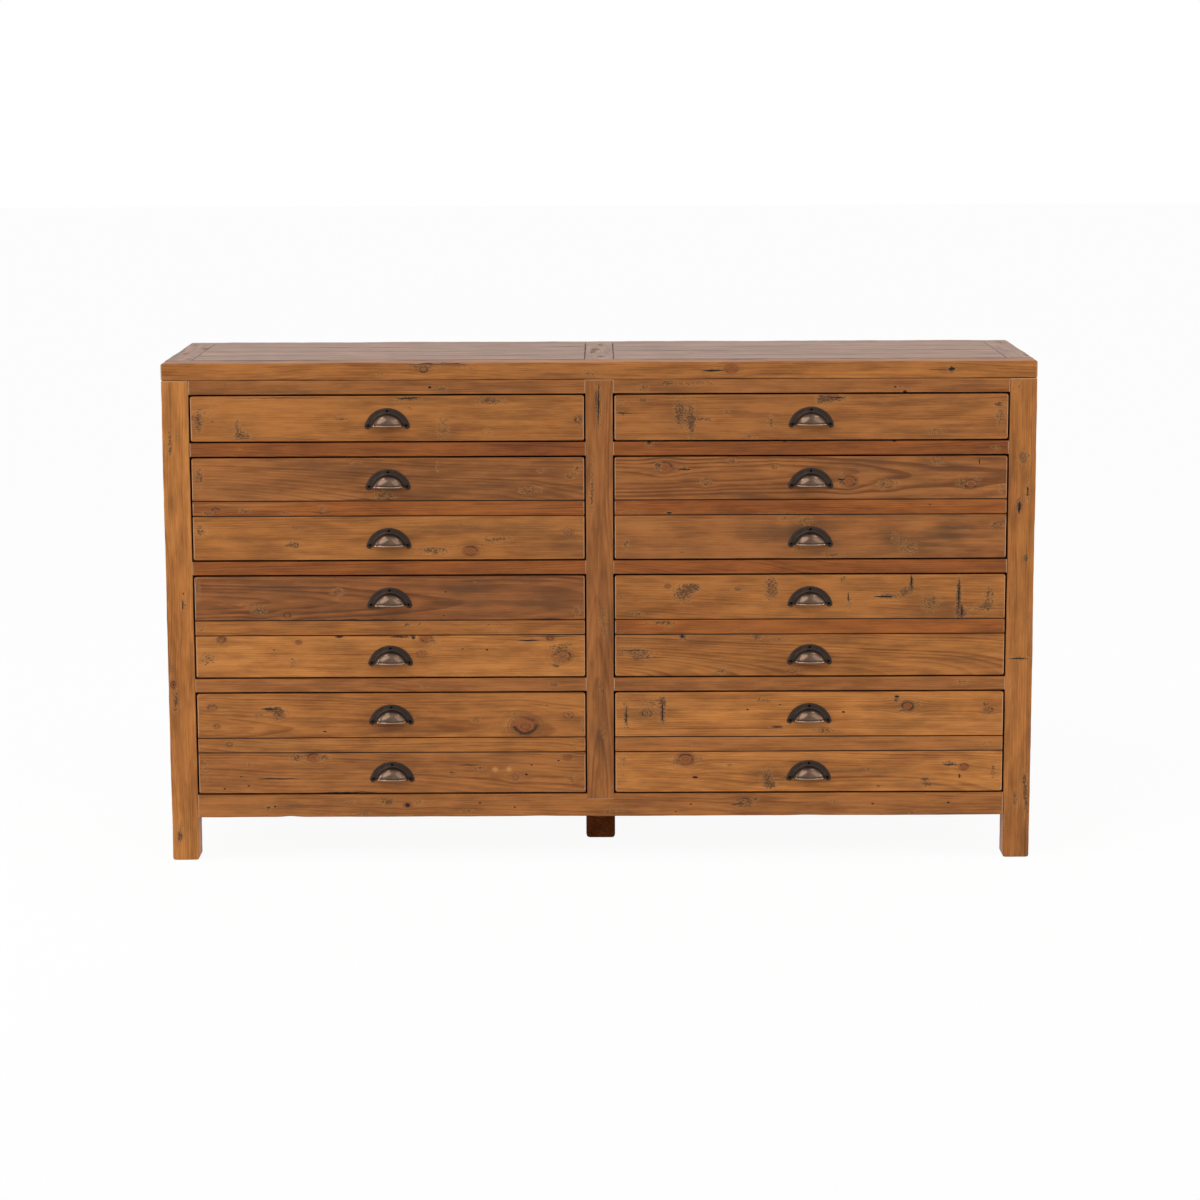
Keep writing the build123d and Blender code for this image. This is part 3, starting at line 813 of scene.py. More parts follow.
def side_and_back_boards():
    boards = []
    for i, (low, high) in enumerate(islands("side_rails")):
        outward = -1 if low[X] < 0 else 1
        boards.append(Board(f"side_rail_{i + 1}", "side_rails", low, high, Y, X, outward))
    for side, outward in zip(SIDES, (-1, 1)):
        node = f"side_panel_{side}"
        for i, box in enumerate(islands(node)):
            name = f"{node}_{i + 1}"
            boards.append(Board(name, node, *box, Z, X, outward, seams=PANEL_SEAMS))
    form = {"ease": 0.8, "sway": 0.05, "seams": PANEL_SEAMS}
    for i, box in enumerate(islands("back_boards")):
        boards.append(Board(f"back_board_{i + 1}", "back_boards", *box, Z, Y, 1, **form))
    return boards


def top_frame_boards(left, right):
    """The top's frame of five boards, which meet in joints round the planks of two fields."""
    low, high = node_box("top_frame")
    front = min(b[0][Y] for b in left + right)
    back = max(b[1][Y] for b in left + right)
    spans = {
        "top_front": (low[X], high[X], low[Y], front, X),
        "top_back": (low[X], high[X], back, high[Y], X),
        "top_end_left": (low[X], left[0][0][X], front, back, Y),
        "top_end_right": (right[0][1][X], high[X], front, back, Y),
        "top_cross": (left[0][1][X], right[0][0][X], front, back, Y),
    }
    boards = []
    for name, (x0, x1, y0, y1, grain) in spans.items():
        corners = np.array((x0, y0, low[Z])), np.array((x1, y1, high[Z]))
        face, outward = (Y, -1) if name == "top_front" else (Z, 1)
        board = Board(name, "top_frame", *corners, grain, face, outward, ease=2.6, sway=0.9)
        board.corners = TOP_CORNERS.get(name, ())
        board.dents = TOP_DENTS.get(name, ())
        board.seams = TOP_SEAMS.get(name, (0, 0))
        boards.append(board)
    return boards


def top_boards():
    planks = islands("top_planks")
    left = [b for b in planks if b[0][X] < 0]
    right = [b for b in planks if b[0][X] > 0]
    boards = top_frame_boards(left, right)
    form = {"ease": 1.2, "sway": 0.3, "seams": PLANK_SEAMS}
    for side, field in zip(SIDES, (left, right)):
        for i, box in enumerate(sorted(field, key=lambda b: b[0][Y])):
            name = f"top_plank_{side}_{i + 1}"
            boards.append(Board(name, "top_planks", *box, X, Z, 1, **form))
    return boards


def drawer_boards(side, row):
    """The one board of a shallow front, or the lower board, strip and upper board of a tall one."""
    node = f"drawer_{side}_{row}_front"
    parts = islands(node)
    names = ["board"] if len(parts) == 1 else ["lower", "strip", "upper"]
    last = len(parts) - 1
    boards = []
    for i, (name, box) in enumerate(zip(names, parts)):
        ends = [-1] * (i == 0) + [1] * (i == last)
        board = Board(f"drawer_{side}_{row}_{name}", node, *box, X, ease=1.3)
        board.corners = tuple((X, Z, way, end, DRAWER_CORNER) for end in ends for way in (-1, 1))
        board.seams = (DRAWER_SEAM * (i > 0), DRAWER_SEAM * (i < last))
        boards.append(board)
    return boards


LOOKS = {}
LOOKS["drawer_left_1_board"] = Looks(
    "amber", pith=(-60, 70, 0.02), spacing=2.9, contrast=0.3,
    knots=((10, 44, 5), (548, 74, 5), (712, 38, 7)),
    cracks=((165, 80, 95, 0.8), (398, 79, 24, 1.4), (40, 36, 3, 0.8)),
    scars=(
        (14, 34, 10, 26, 1.0), (85, 26, 9, 24, 0.8), (98, 10, 16, 9, 1.0), (275, 41, 18, 5, 0.9),
        (398, 77, 30, 5, 1.0), (548, 74, 34, 9, 1.0), (462, 25, 16, 30, 0.8), (402, 60, 4, 7, 0.8),
        (545, 18, 14, 12, 0.6), (712, 36, 8, 16, 0.9), (40, 55, 22, 26, 0.5),
    ),
    stains=(
        (90, 22, 30, 20, 0.35), (600, 60, 90, 18, 0.25), (350, 75, 160, 8, 0.25),
        (470, 25, 40, 30, 0.2),
    ),
)
LOOKS["drawer_left_2_upper"] = Looks(
    "chestnut", pith=(-20, 20, 0.07), spacing=5.5, contrast=0.5,
    knots=((618, 18, 6), (692, 44, 4)),
    cracks=((330, 2, 60, 0.7),),
    scars=(
        (14, 44, 11, 22, 0.9), (618, 18, 26, 7, 1.0), (640, 54, 12, 5, 0.7), (692, 44, 9, 7, 0.9),
        (706, 58, 8, 12, 0.8), (352, 9, 26, 12, 0.9), (450, 62, 4, 14, 0.7), (300, 70, 20, 5, 0.5),
    ),
    stains=(
        (250, 62, 130, 18, 0.35), (520, 30, 200, 34, 0.3), (90, 18, 60, 14, 0.25),
        (140, 66, 90, 8, -0.1),
    ),
)
LOOKS["drawer_left_2_strip"] = Looks(
    "russet", pith=(34, 14, 0.012), spacing=4.0, contrast=0.8,
    knots=((238, 10, 5), (42, 12, 5)),
    scars=((28, 6, 16, 5, 0.9), (95, 9, 14, 6, 0.9), (172, 5, 12, 5, 0.8), (238, 14, 12, 10, 0.6)),
    stains=((90, 22, 110, 5, -0.35), (110, 14, 70, 4, -0.2), (600, 14, 140, 10, -0.08)),
)
LOOKS["drawer_left_2_lower"] = Looks(
    "amber", pith=(120, 60, 0.02), spacing=3.2, contrast=0.3,
    knots=((510, 16, 9), (690, 50, 6), (188, 60, 2.5)),
    scars=(
        (14, 55, 13, 16, 0.9), (50, 46, 16, 4, 0.6), (184, 28, 20, 9, 1.0), (188, 60, 6, 6, 0.6),
        (442, 17, 36, 9, 1.0), (545, 34, 22, 8, 0.8), (575, 40, 18, 6, 0.7), (690, 50, 10, 10, 0.7),
        (500, 66, 30, 4, 0.6),
    ),
    stains=(
        (480, 58, 160, 18, 0.3), (680, 36, 90, 40, 0.35), (250, 20, 120, 18, 0.15),
        (560, 32, 50, 14, -0.1),
    ),
)
LOOKS["drawer_left_3_upper"] = Looks(
    "umber", pith=(30, 9, 0.05), spacing=7.5, contrast=0.7,
    knots=((262, 52, 5), (120, 18, 7), (170, 10, 5)),
    cracks=((300, 1, 90, 0.9), (650, 1, 40, 0.9), (463, 53, 2.2, 1.6), (459, 9, 1.8, 1.4)),
    scars=(
        (262, 52, 16, 13, 0.8), (118, 18, 17, 10, 1.0), (704, 16, 9, 14, 0.8), (90, 30, 24, 8, 0.5),
        (6, 60, 7, 34, 0.7), (516, 70, 4, 3, 0.8), (200, 70, 30, 6, 0.4),
    ),
    stains=(
        (500, 48, 46, 28, 0.6), (150, 55, 120, 24, 0.4), (650, 30, 90, 30, 0.4),
        (300, 20, 80, 14, 0.3), (170, 10, 40, 6, -0.2), (580, 12, 120, 10, -0.1),
    ),
)
LOOKS["drawer_left_3_strip"] = Looks(
    "amber", pith=(-50, 30, 0.01), spacing=2.4, contrast=0.6,
    scars=(
        (389, 20, 8, 5, 0.9), (412, 20, 12, 4, 0.8), (545, 20, 14, 5, 0.8), (12, 14, 8, 12, 0.7),
    ),
)
LOOKS["drawer_left_3_lower"] = Looks(
    "honey", pith=(100, 46, -0.02), spacing=3.0, contrast=0.4,
    knots=((48, 71, 6), (426, 73, 8), (417, 43, 6), (655, 73, 5), (678, 38, 11), (190, 66, 4)),
    cracks=(
        (650, 75, 56, 1.0), (615, 68, 22, 1.5), (265, 76, 9, 1.6), (377, 75, 20, 1.2),
        (402, 74, 3, 3), (144, 51, 2.2, 1.5), (493, 52, 1.8, 1.3), (538, 50, 2.4, 1.9),
    ),
    scars=(
        (20, 35, 20, 18, 0.8), (178, 27, 15, 16, 0.6), (265, 76, 9, 5, 1.0), (377, 76, 24, 4, 0.9),
        (402, 75, 5, 6, 1.0), (440, 66, 14, 12, 0.7), (418, 42, 12, 10, 0.6), (660, 55, 20, 6, 0.7),
        (664, 20, 9, 5, 1.0), (678, 38, 18, 16, 0.7), (690, 60, 20, 8, 0.6), (44, 66, 12, 12, 0.6),
    ),
    stains=(
        (300, 60, 200, 10, 0.15), (640, 20, 60, 12, 0.15), (80, 55, 40, 10, -0.15),
        (530, 30, 90, 10, -0.1),
    ),
)
LOOKS["drawer_left_4_upper"] = Looks(
    "amber", pith=(20, 40, 0.03), spacing=4.6, contrast=0.5,
    knots=(
        (27, 58, 6), (35, 22, 4), (151, 42, 7), (517, 33, 4), (608, 20, 17), (688, 41, 6),
        (396, 37, 3),
    ),
    cracks=((133, 55, 16, 2.0), (235, 12, 4, 1.6), (648, 60, 1.8, 1.4)),
    scars=(
        (151, 45, 11, 14, 1.0), (135, 54, 20, 6, 1.0), (112, 42, 16, 5, 0.8), (235, 12, 8, 4, 0.8),
        (396, 38, 9, 4, 0.9), (517, 33, 12, 6, 0.7), (588, 42, 9, 14, 0.7), (422, 48, 14, 5, 0.4),
        (688, 41, 8, 8, 0.8), (27, 58, 9, 9, 0.8), (35, 22, 7, 5, 0.8), (714, 20, 4, 30, 0.7),
    ),
    stains=((360, 10, 80, 6, 0.3), (560, 50, 60, 20, 0.2), (60, 70, 60, 10, -0.1)),
)
LOOKS["drawer_left_4_strip"] = Looks(
    "amber", pith=(-8, 10, 0.03), spacing=4.5, contrast=0.6,
    knots=((58, 16, 4),),
    scars=((58, 16, 10, 7, 0.5), (330, 22, 14, 4, 0.7), (700, 12, 14, 10, 0.6)),
    stains=((160, 16, 120, 8, -0.3), (160, 2, 160, 4, 0.5), (500, 20, 120, 8, 0.1)),
)
LOOKS["drawer_left_4_lower"] = Looks(
    "tan", pith=(-30, 40, 0.05), spacing=5.5, contrast=0.5,
    knots=((214, 68, 8), (586, 29, 6), (471, 38, 3.5), (686, 66, 5)),
    cracks=(
        (149, 27, 42, 1.5), (500, 52, 22, 0.9), (78, 31, 2, 1.5), (92, 14, 2.6, 2),
        (47, 8, 2.4, 1.8), (609, 34, 3, 2), (619, 52, 2.4, 1.6), (669, 60, 2.6, 1.9),
        (275, 1, 60, 1.4),
    ),
    scars=(
        (182, 68, 16, 9, 1.0), (234, 68, 15, 9, 0.9), (95, 55, 9, 6, 0.7), (522, 46, 17, 5, 0.8),
        (586, 29, 13, 9, 0.7), (12, 45, 8, 32, 0.7), (692, 25, 14, 12, 0.7), (471, 38, 8, 5, 0.8),
    ),
    stains=(
        (551, 44, 5, 4, -1.3), (577, 44, 4, 4, -1.3), (270, 52, 120, 12, 0.3),
        (600, 64, 90, 8, 0.2), (60, 20, 50, 16, 0.2),
    ),
)
LOOKS["drawer_right_1_board"] = Looks(
    "tan", pith=(130, 60, 0.03), spacing=3.2, contrast=0.35,
    knots=((52, 74, 4), (392, 76, 6), (122, 34, 5)),
    cracks=((18, 50, 15, 1.0), (470, 84, 30, 0.8), (405, 77, 12, 1.6)),
    scars=(
        (14, 50, 18, 6, 1.0), (10, 70, 20, 6, 0.7), (52, 74, 10, 6, 0.8), (118, 52, 12, 32, 1.1),
        (140, 35, 10, 40, 1.1), (165, 38, 22, 5, 0.9), (205, 52, 7, 8, 0.8), (285, 33, 8, 16, 0.9),
        (378, 74, 12, 12, 1.0), (405, 76, 26, 9, 1.1), (245, 6, 22, 4, 0.8), (705, 42, 10, 26, 0.9),
        (700, 64, 9, 4, 0.9), (585, 14, 26, 10, 0.6),
    ),
    stains=(
        (585, 14, 44, 12, 0.4), (560, 68, 90, 8, 0.3), (130, 50, 40, 30, 0.25),
        (250, 30, 80, 12, -0.1),
    ),
)
LOOKS["drawer_right_2_upper"] = Looks(
    "chestnut", pith=(40, 9, 0.035), spacing=8.0, contrast=0.95,
    knots=(
        (92, 60, 10), (170, 32, 5), (293, 60, 3.5), (430, 33, 10), (500, 27, 7), (653, 28, 9),
        (592, 73, 6), (214, 72, 3),
    ),
    cracks=((128, 56, 15, 1.3), (416, 36, 8, 1.5), (668, 68, 1.2, 8)),
    scars=(
        (80, 62, 9, 11, 1.0), (128, 56, 16, 6, 0.9), (165, 34, 13, 8, 0.9), (293, 60, 11, 6, 0.7),
        (412, 36, 10, 15, 0.9), (490, 27, 11, 13, 0.9), (512, 30, 11, 10, 0.7),
        (635, 28, 12, 10, 0.9), (662, 37, 14, 10, 0.7), (592, 70, 14, 9, 0.9), (216, 71, 9, 6, 0.9),
        (709, 20, 6, 14, 0.8),
    ),
    stains=(
        (242, 8, 36, 7, 0.6), (440, 62, 80, 16, 0.35), (600, 55, 120, 16, 0.3),
        (560, 20, 40, 16, 0.3),
    ),
)
LOOKS["drawer_right_2_strip"] = Looks(
    "russet", pith=(-40, 20, 0.02), spacing=2.6, contrast=0.5,
    cracks=((100, 3, 6, 2.2), (578, 18, 2, 1.4)),
    scars=((100, 4, 8, 4, 0.9), (30, 6, 30, 4, 0.7), (300, 2, 60, 2, 0.6)),
    stains=((30, 6, 50, 6, 0.4), (480, 22, 200, 4, -0.1)),
)
LOOKS["drawer_right_2_lower"] = Looks(
    "chestnut", pith=(140, 80, 0.0), spacing=3.2, contrast=0.2,
    knots=((702, 60, 6),),
    scars=(
        (20, 28, 8, 12, 0.9), (310, 74, 14, 5, 0.8), (350, 70, 24, 12, 0.7), (540, 20, 22, 18, 0.8),
        (515, 40, 11, 13, 0.6), (700, 60, 14, 9, 0.9), (400, 6, 24, 6, 0.9), (340, 18, 22, 7, 0.7),
        (125, 12, 6, 3, 0.9), (40, 60, 20, 8, 0.4),
    ),
    stains=(
        (345, 48, 50, 26, 0.75), (400, 22, 40, 20, 0.4), (270, 52, 60, 16, 0.4),
        (622, 50, 46, 20, 0.85), (565, 24, 66, 20, 0.65), (505, 40, 22, 18, 0.5),
        (60, 62, 34, 8, -0.2), (310, 62, 18, 12, -0.4), (560, 62, 26, 9, -0.3),
        (660, 28, 24, 10, -0.25), (30, 20, 20, 20, 0.3), (130, 12, 80, 8, 0.3),
    ),
)
LOOKS["drawer_right_3_upper"] = Looks(
    "amber", pith=(-40, 60, 0.03), spacing=3.4, contrast=0.35,
    knots=((97, 62, 4), (533, 50, 5), (290, 50, 6), (228, 56, 3)),
    cracks=(
        (495, 41, 20, 2.4), (546, 70, 1.6, 14), (634, 46, 1.5, 34), (640, 14, 1.6, 16),
        (430, 40, 1.2, 12),
    ),
    scars=(
        (125, 48, 22, 20, 1.1), (147, 60, 14, 8, 1.0), (225, 55, 13, 7, 0.8),
        (288, 60, 17, 32, 1.0), (420, 74, 9, 9, 0.9), (432, 30, 8, 18, 0.8), (503, 42, 24, 8, 1.0),
        (547, 66, 6, 18, 1.1), (535, 50, 12, 12, 0.9), (582, 30, 22, 22, 0.9),
        (634, 45, 7, 38, 1.2), (640, 10, 16, 12, 1.0), (690, 45, 14, 22, 0.9),
        (680, 20, 22, 10, 0.9), (40, 10, 18, 7, 0.8), (10, 45, 12, 5, 0.7),
    ),
    stains=(
        (600, 25, 70, 22, 0.4), (35, 12, 34, 8, 0.3), (450, 60, 100, 10, 0.15),
        (340, 20, 100, 10, -0.12),
    ),
)
LOOKS["drawer_right_3_strip"] = Looks(
    "russet", pith=(-30, 30, 0.0), spacing=2.4, contrast=0.35,
    scars=((82, 22, 32, 4, 1.0), (100, 12, 14, 9, 0.5), (225, 6, 14, 5, 0.6), (10, 4, 16, 5, 0.6)),
    stains=((250, 14, 120, 8, -0.12),),
)
LOOKS["drawer_right_3_lower"] = Looks(
    "amber", pith=(-6, 18, 0.09), spacing=5.4, contrast=0.6,
    knots=((40, 36, 5), (262, 76, 4)),
    cracks=((124, 74, 3, 4), (40, 48, 30, 0.8), (60, 34, 40, 0.8)),
    scars=(
        (125, 74, 11, 8, 1.1), (260, 76, 10, 9, 1.0), (28, 46, 30, 12, 0.8), (60, 38, 22, 12, 0.6),
        (300, 68, 34, 9, 0.7), (195, 8, 18, 10, 0.8), (330, 8, 22, 7, 0.8),
    ),
    stains=(
        (130, 62, 120, 12, 0.3), (650, 36, 44, 12, 0.35), (696, 38, 26, 5, -0.45),
        (200, 24, 120, 14, -0.12), (480, 66, 160, 8, 0.15),
    ),
)
LOOKS["drawer_right_4_upper"] = Looks(
    "honey", pith=(110, 26, -0.03), spacing=4.2, contrast=0.45,
    knots=((542, 56, 9), (692, 48, 6), (58, 44, 7)),
    cracks=(
        (87, 48, 1.2, 24), (20, 40, 1.2, 22), (245, 50, 2.6, 2.2), (423, 46, 3.4, 2.6),
        (305, 60, 2, 1.5), (300, 17, 12, 1.4), (522, 74, 5, 3),
    ),
    scars=(
        (20, 42, 7, 36, 1.0), (88, 50, 7, 40, 1.0), (58, 44, 22, 16, 0.7), (68, 66, 26, 10, 0.6),
        (272, 68, 18, 5, 0.9), (300, 18, 15, 4, 1.0), (387, 12, 24, 9, 0.9), (521, 70, 9, 9, 1.0),
        (530, 48, 12, 8, 0.8), (560, 60, 11, 10, 0.7), (690, 47, 9, 12, 0.9), (684, 62, 10, 5, 0.8),
    ),
    stains=(
        (60, 50, 54, 34, 0.35), (150, 66, 50, 8, 0.25), (560, 50, 60, 26, 0.2),
        (600, 20, 100, 14, 0.2),
    ),
)
LOOKS["drawer_right_4_strip"] = Looks(
    "tan", pith=(-40, 24, 0.01), spacing=2.6, contrast=0.45,
    scars=((540, 24, 14, 4, 0.7), (690, 14, 16, 10, 0.6), (150, 12, 30, 4, 0.5)),
)
LOOKS["drawer_right_4_lower"] = Looks(
    "honey", pith=(-20, 30, 0.05), spacing=4.4, contrast=0.45,
    knots=((130, 62, 11), (648, 46, 6)),
    cracks=((148, 28, 6, 2.4), (622, 50, 12, 1.4), (575, 22, 10, 1.0), (640, 28, 1.4, 6)),
    scars=(
        (112, 58, 12, 12, 0.8), (156, 62, 14, 9, 0.7), (212, 52, 9, 7, 0.8), (282, 28, 15, 20, 1.0),
        (290, 12, 12, 7, 0.9), (315, 25, 15, 6, 0.9), (622, 51, 20, 7, 1.0), (575, 22, 15, 7, 0.9),
        (580, 12, 14, 5, 0.9), (640, 28, 6, 9, 0.8), (15, 62, 11, 12, 0.7), (12, 30, 10, 22, 0.6),
        (702, 40, 9, 26, 0.8), (490, 10, 12, 4, 0.8), (470, 42, 10, 4, 0.8),
    ),
    stains=(
        (470, 38, 66, 10, 0.6), (275, 34, 34, 22, 0.5), (600, 62, 44, 8, 0.35),
        (570, 12, 60, 6, 0.3), (330, 70, 60, 8, -0.15),
    ),
)
LOOKS["top_front"] = Looks(
    "amber", pith=(-14, 26, 0.01), spacing=3.6, contrast=0.4,
    knots=((1041, 19, 8), (1443, 17, 3.5), (480, 20, 6)),
    cracks=((1008, 16, 22, 2.4), (1418, 15, 22, 1.0), (505, 31, 60, 1.2), (1443, 17, 6, 3.5)),
    scars=(
        (480, 26, 40, 8, 0.8), (401, 9, 12, 6, 0.7), (784, 10, 26, 9, 0.7), (1010, 16, 20, 6, 0.8),
        (1443, 17, 12, 8, 1.0), (1200, 20, 60, 4, 0.4), (560, 24, 30, 5, 0.5), (200, 6, 30, 3, 0.4),
    ),
    stains=((700, 10, 120, 12, 0.35), (930, 6, 90, 5, 0.3), (1240, 24, 120, 5, 0.2)),
)
LOOKS["top_cross"] = Looks(
    "tabletop", pith=(20, 40, 0.02), spacing=3.2, contrast=0.6, edge=SEAM, gloss=TOP_GLOSS,
    knots=((120, 26, 5), (330, 14, 4)),
    cracks=((60, 30, 8, 2.0), (212, 16, 14, 2.2), (300, 34, 10, 1.8)),
    scars=(
        (60, 30, 30, 12, 1.2), (150, 14, 34, 8, 1.1), (215, 20, 40, 12, 1.2), (320, 30, 40, 8, 1.1),
    ),
    stains=((120, 10, 120, 8, 0.5), (300, 40, 90, 8, 0.5)),
)
LOOKS["top_end_left"] = Looks(
    "tabletop", pith=(-20, 40, 0.02), spacing=3.4, contrast=0.6, edge=SEAM, gloss=TOP_GLOSS,
    knots=((90, 40, 5), (260, 24, 4)),
    cracks=(
        (30, 44, 3, 2.6), (60, 20, 3, 2.4), (150, 50, 3, 2.4), (330, 36, 4, 3.0), (200, 8, 40, 1.6),
    ),
    scars=(
        (40, 40, 20, 9, 1.1), (150, 20, 60, 9, 1.0), (262, 44, 30, 12, 1.1), (340, 14, 24, 8, 1.0),
    ),
    stains=((120, 4, 160, 7, 0.7), (330, 50, 60, 20, 0.4)),
)
LOOKS["top_end_right"] = Looks(
    "tabletop", pith=(80, 40, 0.02), spacing=3.4, contrast=0.6, edge=SEAM, gloss=TOP_GLOSS,
    knots=((200, 30, 4),),
    cracks=((40, 20, 3, 2.6), (90, 50, 3, 2.4), (330, 30, 4, 3.0), (360, 52, 3, 2.4)),
    scars=((60, 44, 30, 8, 1.0), (210, 52, 50, 8, 1.0), (350, 30, 24, 12, 1.1)),
    stains=((200, 58, 160, 7, 0.6),),
)
LOOKS["top_rail_left"] = Looks(
    "chestnut", pith=(60, 30, 0.02), spacing=2.8, contrast=0.35,
    cracks=((441, 12, 3.4, 2.8),),
    scars=((464, 10, 12, 5, 0.9), (300, 6, 30, 3, 0.6), (60, 20, 20, 4, 0.5)),
    stains=((200, 5, 90, 6, 0.5), (560, 18, 120, 6, 0.2)),
)
LOOKS["top_rail_right"] = Looks(
    "chestnut", pith=(-30, 30, 0.02), spacing=2.8, contrast=0.35,
    cracks=((515, 10, 2.6, 1.8), (533, 2, 4, 3.2)),
    scars=((98, 20, 12, 6, 0.9), (55, 9, 14, 9, 0.8), (150, 18, 50, 5, 0.8), (520, 10, 14, 5, 0.7)),
    stains=((70, 12, 70, 10, 0.4), (330, 10, 100, 8, 0.15)),
)
LOOKS["bottom_rail"] = Looks(
    "tan", pith=(-20, 36, 0.02), spacing=3.8, contrast=0.4,
    knots=((390, 22, 5), (1018, 26, 9), (356, 28, 4)),
    cracks=(
        (390, 22, 5, 4.5), (131, 18, 2.6, 2), (143, 20, 2.6, 1.8), (1004, 22, 12, 1.2),
        (918, 22, 3, 2), (1257, 22, 3, 2), (1398, 24, 3, 2.2), (525, 26, 3, 2), (590, 18, 2.2, 1.6),
        (890, 8, 2.4, 1.6),
    ),
    scars=(
        (131, 18, 10, 6, 0.8), (352, 30, 16, 12, 1.0), (410, 28, 16, 12, 0.7),
        (290, 28, 24, 5, 0.7), (500, 12, 16, 5, 0.9), (310, 6, 24, 5, 0.7), (1018, 24, 18, 10, 1.0),
        (1190, 26, 24, 5, 0.6), (1040, 32, 8, 4, 0.9), (1330, 4, 10, 4, 0.8), (772, 10, 30, 8, 0.6),
    ),
    stains=(
        (160, 20, 90, 8, 0.35), (300, 28, 60, 8, 0.3), (800, 12, 50, 14, 0.35),
        (1200, 20, 100, 8, 0.2),
    ),
)
LOOKS["leg_front_left"] = Looks(
    "honey", pith=(-40, 50, 0.01), spacing=3.0, contrast=0.3,
    knots=((334, 9, 5), (45, 14, 3)),
    cracks=((505, 33, 2.4, 1.6), (334, 9, 3, 1.6), (484, 30, 12, 1.2)),
    scars=(
        (792, 14, 22, 5, 0.9), (798, 28, 14, 6, 0.6), (768, 14, 12, 4, 0.7), (484, 33, 15, 7, 0.8),
        (311, 14, 24, 6, 0.9), (286, 12, 22, 5, 0.6), (45, 14, 12, 6, 1.2), (70, 17, 20, 8, 0.6),
        (365, 8, 20, 4, 0.7),
    ),
    stains=(
        (671, 16, 30, 12, 0.4), (620, 16, 30, 10, -0.25), (365, 8, 16, 4, 0.4),
        (860, 10, 40, 20, 0.1),
    ),
)
LOOKS["leg_front_right"] = Looks(
    "amber", pith=(90, 50, 0.0), spacing=3.0, contrast=0.35,
    knots=((752, 26, 6), (662, 20, 5), (566, 34, 4)),
    cracks=((660, 20, 12, 2.4), (690, 36, 10, 1.4), (378, 24, 1.2, 20)),
    scars=(
        (752, 26, 14, 16, 0.9), (690, 36, 24, 6, 0.9), (664, 20, 20, 6, 1.1), (566, 34, 12, 7, 1.0),
        (455, 36, 14, 5, 0.7), (378, 24, 6, 26, 0.9), (140, 40, 34, 6, 1.1), (112, 22, 24, 6, 0.9),
        (96, 44, 26, 5, 0.8), (880, 10, 20, 20, 0.5), (320, 10, 24, 4, 0.5),
    ),
    stains=(
        (140, 42, 30, 3, -0.5), (100, 26, 26, 3, -0.4), (60, 40, 60, 10, 0.25),
        (180, 38, 60, 6, 0.3),
    ),
)
LOOKS["centre_stile"] = Looks(
    "chestnut", pith=(20, 34, 0.02), spacing=3.6, contrast=0.45,
    cracks=((736, 24, 42, 1.6), (746, 20, 20, 1.0)),
    scars=(
        (740, 24, 50, 6, 1.0), (600, 12, 50, 5, 0.7), (560, 10, 30, 4, 0.6), (330, 34, 40, 7, 0.7),
        (210, 26, 24, 5, 0.8), (350, 24, 20, 5, 0.6), (130, 30, 30, 8, 0.5),
    ),
    stains=(
        (330, 36, 40, 8, 0.5), (210, 28, 26, 6, 0.5), (600, 14, 60, 8, 0.3), (120, 26, 30, 20, 0.3),
    ),
)
# painted shade: the set-back centre foot gets the darkened tone and dark arrises
LOOKS["centre_foot"] = Looks(
    "dark", pith=(-12, 40, 0.0), spacing=3.6, contrast=1.0, edge=SEAM, gloss=0.05,
)
LOOKS["mid_rail_left_1"] = Looks(
    "rust", pith=(-20, 30, 0.02), spacing=2.6, contrast=0.4,
    scars=((90, 14, 20, 4, 0.5),),
)
LOOKS["mid_rail_right_1"] = Looks(
    "rust", pith=(40, 30, 0.02), spacing=2.6, contrast=0.4,
    cracks=((66, 24, 4, 2.4), (314, 25, 3, 2), (515, 25, 4, 3)),
    scars=((66, 22, 12, 6, 0.9), (700, 10, 14, 10, 0.6)),
)
LOOKS["mid_rail_left_2"] = Looks("rust", pith=(50, 26, 0.03), spacing=3.0, contrast=0.5)
LOOKS["mid_rail_right_2"] = Looks("rust", pith=(-10, 24, 0.03), spacing=3.0, contrast=0.45)
LOOKS["mid_rail_left_3"] = Looks(
    "chestnut", pith=(-20, 30, 0.02), spacing=3.0, contrast=0.35,
    knots=((664, 13, 4),),
    scars=((664, 13, 12, 8, 0.7), (420, 8, 20, 4, 0.6)),
)
LOOKS["mid_rail_right_3"] = Looks(
    "chestnut", pith=(60, 30, 0.02), spacing=3.0, contrast=0.35,
    scars=((645, 14, 14, 8, 0.8), (300, 10, 40, 4, 0.4)),
)


